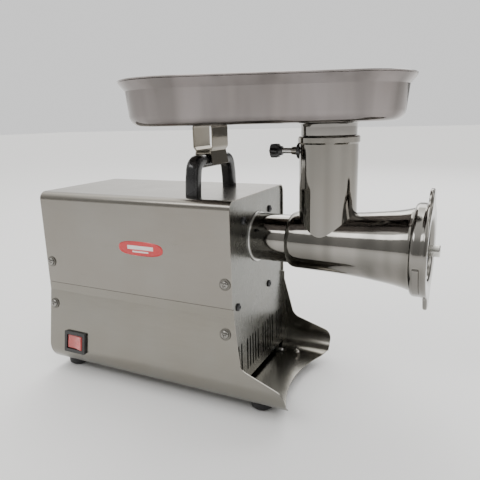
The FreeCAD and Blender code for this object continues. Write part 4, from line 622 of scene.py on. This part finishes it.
def disc_surface(radius, height, relief, rings=26, around=96):
    """Domed disc, height(r) = h sqrt(1 - (r/R)^2 k), plus relief(u, v), with its rim carried down."""
    r = np.concatenate([np.linspace(0.02, 1, rings) * radius, [radius]])
    t = np.linspace(0, 2 * math.pi, around, endpoint=False)
    u = r[:, None] * np.cos(t)
    v = r[:, None] * np.sin(t)
    w = height * (0.28 + 0.72 * np.sqrt(np.clip(1 - (r / radius) ** 2, 0, 1)))[:, None] + relief(u, v)
    w[-1] = 0.0
    return np.stack([u, v, w], -1).reshape(-1, 3), grid_faces(rings + 1, around, close_columns=True)


def cross_recess(u, v):
    """Cross recess: two crossing grooves, 0.9 mm wide and 4.8 mm long, with soft walls."""
    def groove(a, b):
        return 1 / (1 + np.exp((np.abs(a) - 0.45) / 0.06)) / (1 + np.exp((np.abs(b) - 2.4) / 0.1))

    return -1.0 * np.maximum(groove(u, v), groove(v, u))


def side_places():
    """The eight (x, z, side) places of the side screws, taken from the screws' own box."""
    xs = (low("side_washers")[0] + WASHER_R, high("side_washers")[0] - WASHER_R)
    heights = (high("side_washers")[2] - WASHER_R, LOW_SCREW_Z)
    return [(x, z, side) for z in heights for x in xs for side in (1, -1)]


def make_side_screws():
    """Pan heads with a cross recess, and washers with rounded rims, in one mesh each."""
    heads = []
    rings = []
    head, head_faces = disc_surface(SCREW_HEAD_R, SCREW_HEAD_H, cross_recess)
    rim = rounded([(0.0, 2.2), (0.0, WASHER_R), (WASHER_T, WASHER_R), (WASHER_T, 2.2)],
                  (0.25, 0.4), 4)
    flat, ring_faces = turned(np.concatenate([rim, rim[:1]]), (0, 0, 0), "z", 64)
    for k, (x, z, side) in enumerate(side_places()):
        spin = 0.4 + 0.83 * k
        c, s = math.cos(spin), math.sin(spin)
        spun = head @ np.array([[c, s, 0], [-s, c, 0], [0, 0, 1]])
        heads.append((on_wall(spun, x, z, side, WASHER_T + SEAT_GAP), head_faces))
        rings.append((on_wall(flat, x, z, side, SEAT_GAP), ring_faces))
    finish(mesh_object("side_screw_heads", *joined(heads), sharp=50), "body", "side_screw_steel",
           MATERIALS["side_screw_steel"], "side_screws")
    finish(mesh_object("side_washer_rings", *joined(rings), sharp=50), "body", "washer_steel",
           MATERIALS["washer_steel"], "side_washers")


def make_feet():
    """Rubber feet: a turned profile with a narrower pad below, a rounded shoulder and a rib."""
    lo = low("rubber_feet")
    hi = high("rubber_feet")
    profile = rounded([(0.0, 4.0), (0.0, 9.7), (2.2, 9.9), (2.4, 12.4), (3.4, 12.7), (hi[2] - 1.2, 12.7),
                       (hi[2], 12.2), (hi[2], 4.0)], (0.9, 0.3, 0.5, 0.4, 0.5, 0.4), 5)
    feet = [turned(np.concatenate([profile, profile[:1]]), (x, y, 0), "z", 80)
            for x in (lo[0] + 12.7, hi[0] - 12.7) for y in (lo[1] + 12.7, hi[1] - 12.7)]
    finish(mesh_object("foot_pads", *joined(feet)), "body", "feet_rubber", MATERIALS["feet_rubber"],
           "rubber_feet")


def make_bracket():
    """Clip: one bent strip, its centre line rounded at the bends and set off half a sheet each way,
    with a cross strip on the handle's bar; carried straight across the machine."""
    lo = low("tray_support")
    hi = high("tray_support")
    x = (lo[0] + hi[0]) / 2
    t = 1.5
    top = hi[2] - t / 2
    bar = high("carry_handle")[2] + 0.02
    line = rounded([(11.85, lo[2]), (8.65, 271.6), (11.75, 275.4), (11.75, top), (-11.75, top),
                    (-11.75, 275.4), (-8.65, 271.6), (-11.85, lo[2])], (2, 2, 2.2, 2.2, 2, 2), 7)
    way = np.gradient(line, axis=0)
    way /= np.linalg.norm(way, axis=1)[:, None]
    off = np.stack([-way[:, 1], way[:, 0]], -1) * t / 2
    strip = np.concatenate([line + off, (line - off)[::-1]])
    n = len(line)
    y = np.array([lo[1], hi[1]])
    points = np.concatenate([np.stack([x + strip[:, 0], np.full(2 * n, v), strip[:, 1]], -1) for v in y])
    walls = grid_faces(2, 2 * n, close_columns=True).tolist()
    k = np.arange(n - 1)
    ends = np.stack([k, k + 1, 2 * n - 2 - k, 2 * n - 1 - k], -1)
    faces = walls + ends.tolist() + (ends + 2 * n).tolist()
    cross = np.array([(-8.4, bar), (8.4, bar), (8.4, bar + t), (-8.4, bar + t)])
    cross_points = np.concatenate([np.stack([x + cross[:, 0], np.full(4, v), cross[:, 1]], -1)
                                   for v in (lo[1] + 0.2, hi[1] - 0.2)])
    cross_faces = grid_faces(2, 4, close_columns=True).tolist() + [[0, 1, 2, 3], [4, 5, 6, 7]]
    clip = mesh_object("bent_clip", *joined([(points, faces), (cross_points, cross_faces)]), sharp=40)
    finish(bevelled(clip, 0.22, 2, 60), "body", "support_steel", MATERIALS["support_steel"],
           "tray_support")


def make_badge():
    """Blank enamel plate: a domed disc squeezed to an oval, with a raised rim."""
    lo = low("badge_plate")
    hi = high("badge_plate")
    centre = (lo + hi) / 2
    half = (hi - lo) / 2
    def raised_rim(u, v):
        return 0.3 * np.exp(-((np.hypot(u, v) - 0.93) / 0.03) ** 2)

    points, faces = disc_surface(1.0, 0.45, raised_rim, 40, 160)
    squeeze = 1 + 0.10 * np.sin(2 * np.arctan2(points[:, 1], points[:, 0])) ** 2
    y = lo[1] + (hi[1] - lo[1]) * (1 - np.clip(points[:, 2] / 0.75, 0, 1))
    out = np.stack([centre[0] + points[:, 0] * half[0] * squeeze * 0.985, y,
                    centre[2] + points[:, 1] * half[2] * squeeze * 0.96], -1)
    finish(mesh_object("badge_oval", out, faces, 60), "body", "badge", MATERIALS["badge"], "badge_plate")


# ---- switch ----
SWITCH_Z = 43.6
SWITCH_TILT = math.radians(8.0)
PIVOT_IN = 2.0                          # how far the rocker's axis lies inside the wall


def make_switch():
    """Rocker: its face dips to the middle, b = 3.7 + 1.5 |a/h|^1.7, with rounded edges and a raised
    bar and ring; the frame is a rounded rectangular ring around it."""
    x = middle("switch_housing")[0]
    half_l, half_h = 11.5, 8.5
    a = np.linspace(-half_l, half_l, 121)
    c = np.linspace(-half_h, half_h, 91)
    a = np.concatenate([[-half_l], a, [half_l]])
    c = np.concatenate([[-half_h], c, [half_h]])
    along, up = np.meshgrid(a, c, indexing="ij")
    rim = np.minimum(half_l - np.abs(along), half_h - np.abs(up))
    face = 3.6 + 1.5 * np.abs(along / half_l) ** 1.7 - 1.0 * np.clip(1 - rim / 0.9, 0, 1) ** 2
    ring = np.abs(np.hypot(along - 6.2, up) - 2.3)
    bar = np.maximum(np.abs(along + 6.2) - 0.05, np.abs(up) - 2.2)
    mark = np.minimum(ring, np.maximum(bar, 0))
    face = face + 0.22 / (1 + np.exp((mark - 0.32) / 0.05))
    face[[0, -1], :] = -0.8
    face[:, [0, -1]] = -0.8
    c8, s8 = math.cos(SWITCH_TILT), math.sin(SWITCH_TILT)
    turned_along = along * c8 - face * s8
    turned_out = along * s8 + face * c8 - PIVOT_IN
    flat = np.stack([turned_along, up, turned_out], -1).reshape(-1, 3)
    rocker = mesh_object("rocker_cap", on_wall(flat, x, SWITCH_Z, -1, 0.0), grid_faces(*along.shape), 45)
    finish(rocker, "rocker", "rocker_red", MATERIALS["rocker_red"], "switch_rocker")
    levels = [(0.0, 0.0, 0.0), (0.0, 0.0, 2.0), (0.5, 0.5, 2.7), (1.3, 1.3, 3.0), (3.3, 3.4, 3.0),
              (3.55, 3.7, 2.8), (3.6, 3.75, 2.2), (3.6, 3.75, -8.5)]
    rows = []
    for inset_l, inset_h, out in levels:
        t = np.linspace(0, 2 * math.pi, 160, endpoint=False)
        r = max(0.3, 1.8 - inset_l)
        wide, tall = 16.0 - inset_l - r, 13.0 - inset_h - r
        u = np.sign(np.cos(t)) * wide * np.clip(np.abs(np.cos(t)) * 1.45, 0, 1) + r * np.cos(t)
        v = np.sign(np.sin(t)) * tall * np.clip(np.abs(np.sin(t)) * 1.45, 0, 1) + r * np.sin(t)
        rows.append(on_wall(np.stack([u, v, np.full(160, out)], -1), x, SWITCH_Z, -1, 0.0))
    frame_ring = mesh_object("switch_frame", np.concatenate(rows),
                             grid_faces(len(levels), 160, False, True), 40)
    finish(frame_ring, "body", "switch_black", MATERIALS["switch_black"])


make_tray()
make_spout()
make_ring()
make_handle()
make_knobs()
make_side_screws()
make_feet()
make_bracket()
make_badge()
make_switch()


# ---- studio ----
def stage_plane(name, size, location, rotation, color, rough=0.9):
    """Large flat card that isn't part of the machine."""
    mesh = bpy.data.meshes.new(name)
    h = size / 2
    mesh.from_pydata([(-h, -h, 0), (h, -h, 0), (h, h, 0), (-h, h, 0)], [], [(0, 1, 2, 3)])
    card = bpy.data.objects.new(name, mesh)
    bpy.context.scene.collection.objects.link(card)
    card.location = location
    card.rotation_euler = rotation
    paint = bpy.data.materials.new(name)
    paint.use_nodes = True
    shader = paint.node_tree.nodes["Principled BSDF"]
    shader.inputs["Base Color"].default_value = (*color, 1)
    shader.inputs["Roughness"].default_value = rough
    card.data.materials.append(paint)
    return card


stage_plane("floor", 30.0, (0, 0, 0), (0, 0, 0), (0.92, 0.92, 0.92))


def make_world():
    """Room light: brightness from the direction's height, times soft upright bands around it."""
    world = bpy.data.worlds.new("room")
    bpy.context.scene.world = world
    world.use_nodes = True
    nodes = world.node_tree.nodes
    links = world.node_tree.links
    background = nodes["Background"]
    coords = nodes.new("ShaderNodeTexCoord")
    split = nodes.new("ShaderNodeSeparateXYZ")
    links.new(coords.outputs["Generated"], split.inputs[0])
    angle = nodes.new("ShaderNodeMath")
    angle.operation = "ARCTAN2"
    links.new(split.outputs["Y"], angle.inputs[0])
    links.new(split.outputs["X"], angle.inputs[1])
    turn = nodes.new("ShaderNodeMapRange")
    turn.inputs["From Min"].default_value = -math.pi
    turn.inputs["From Max"].default_value = math.pi
    links.new(angle.outputs[0], turn.inputs["Value"])
    around = nodes.new("ShaderNodeValToRGB")
    bands = [(-180, 0.80), (-150, 0.62), (-128, 0.47), (-100, 0.45), (-88, 0.30), (-80, 0.34),
             (-62, 0.42), (-52, 0.30), (-44, 0.85), (-34, 1.1), (-22, 0.35), (-8, 0.22), (10, 0.40),
             (30, 0.60), (44, 0.32), (62, 0.28), (80, 0.34), (95, 0.80), (116, 1.9), (150, 1.0)]
    elements = around.color_ramp.elements
    while len(elements) < len(bands):
        elements.new(0.5)
    for element, (degrees, value) in zip(elements, bands):
        element.position = (degrees + 180) / 360
        element.color = (value, value * 0.99, value * 0.965, 1)
    links.new(turn.outputs[0], around.inputs["Fac"])
    height = nodes.new("ShaderNodeValToRGB")
    steps = [(0.0, 0.8), (0.5, 0.9), (0.62, 1.0), (0.76, 1.2), (0.86, 2.5), (1.0, 2.9)]
    elements = height.color_ramp.elements
    while len(elements) < len(steps):
        elements.new(0.5)
    for element, (position, value) in zip(elements, steps):
        element.position = position
        element.color = (value, value, value, 1)
    lift = nodes.new("ShaderNodeMapRange")
    lift.inputs["From Min"].default_value = -1
    links.new(split.outputs["Z"], lift.inputs["Value"])
    links.new(lift.outputs[0], height.inputs["Fac"])
    product = nodes.new("ShaderNodeMix")
    product.data_type = "RGBA"
    product.blend_type = "MULTIPLY"
    product.inputs[0].default_value = 1.0
    links.new(around.outputs["Color"], product.inputs[6])
    links.new(height.outputs["Color"], product.inputs[7])
    seen = nodes.new("ShaderNodeLightPath")
    shown = nodes.new("ShaderNodeMix")
    shown.data_type = "RGBA"
    links.new(seen.outputs["Is Camera Ray"], shown.inputs[0])
    links.new(product.outputs[2], shown.inputs[6])
    shown.inputs[7].default_value = (1.0, 1.0, 1.0, 1)
    links.new(shown.outputs[2], background.inputs["Color"])


def soft_light(name, location, target, size, power):
    """Rectangular soft light aimed at a point; lengths in metres."""
    light = bpy.data.lights.new(name, "AREA")
    light.shape = "RECTANGLE"
    light.size, light.size_y = size
    light.energy = power
    lamp = bpy.data.objects.new(name, light)
    bpy.context.scene.collection.objects.link(lamp)
    lamp.location = location
    aim = Vector(target) - Vector(location)
    lamp.rotation_euler = aim.to_track_quat("-Z", "Y").to_euler()


def make_camera():
    """Camera at the viewing place, given in the machine's frame, with its turn, dip and roll."""
    yaw, pitch, roll = (math.radians(a) for a in (26.318, 13.746, -1.5))
    forward = Vector((-math.sin(yaw) * math.cos(pitch), math.cos(yaw) * math.cos(pitch),
                      -math.sin(pitch)))
    level = Vector((math.cos(yaw), math.sin(yaw), 0))
    above = level.cross(forward)
    right = math.cos(roll) * level + math.sin(roll) * above
    up = -math.sin(roll) * level + math.cos(roll) * above
    turn = Matrix((right, up, -forward)).transposed().to_4x4()
    data = bpy.data.cameras.new("camera")
    data.sensor_width = 36.0
    data.lens = 36.78
    camera = bpy.data.objects.new("camera", data)
    place = Vector(np.array((472.9, -491.2, 303.3)) * MM + ORIGIN)
    camera.matrix_world = Matrix.Translation(place) @ turn
    bpy.context.scene.collection.objects.link(camera)
    bpy.context.scene.camera = camera


make_world()
soft_light("key_light", (-0.7, -1.3, 1.5), (0, 0, 0.15), (1.2, 0.5), 9)
soft_light("fill_light", (1.6, -0.2, 1.2), (0.1, 0, 0.15), (0.6, 0.9), 5)
soft_light("back_light", (0.2, 1.9, 1.5), (0, 0, 0.1), (2.2, 0.8), 18)
make_camera()
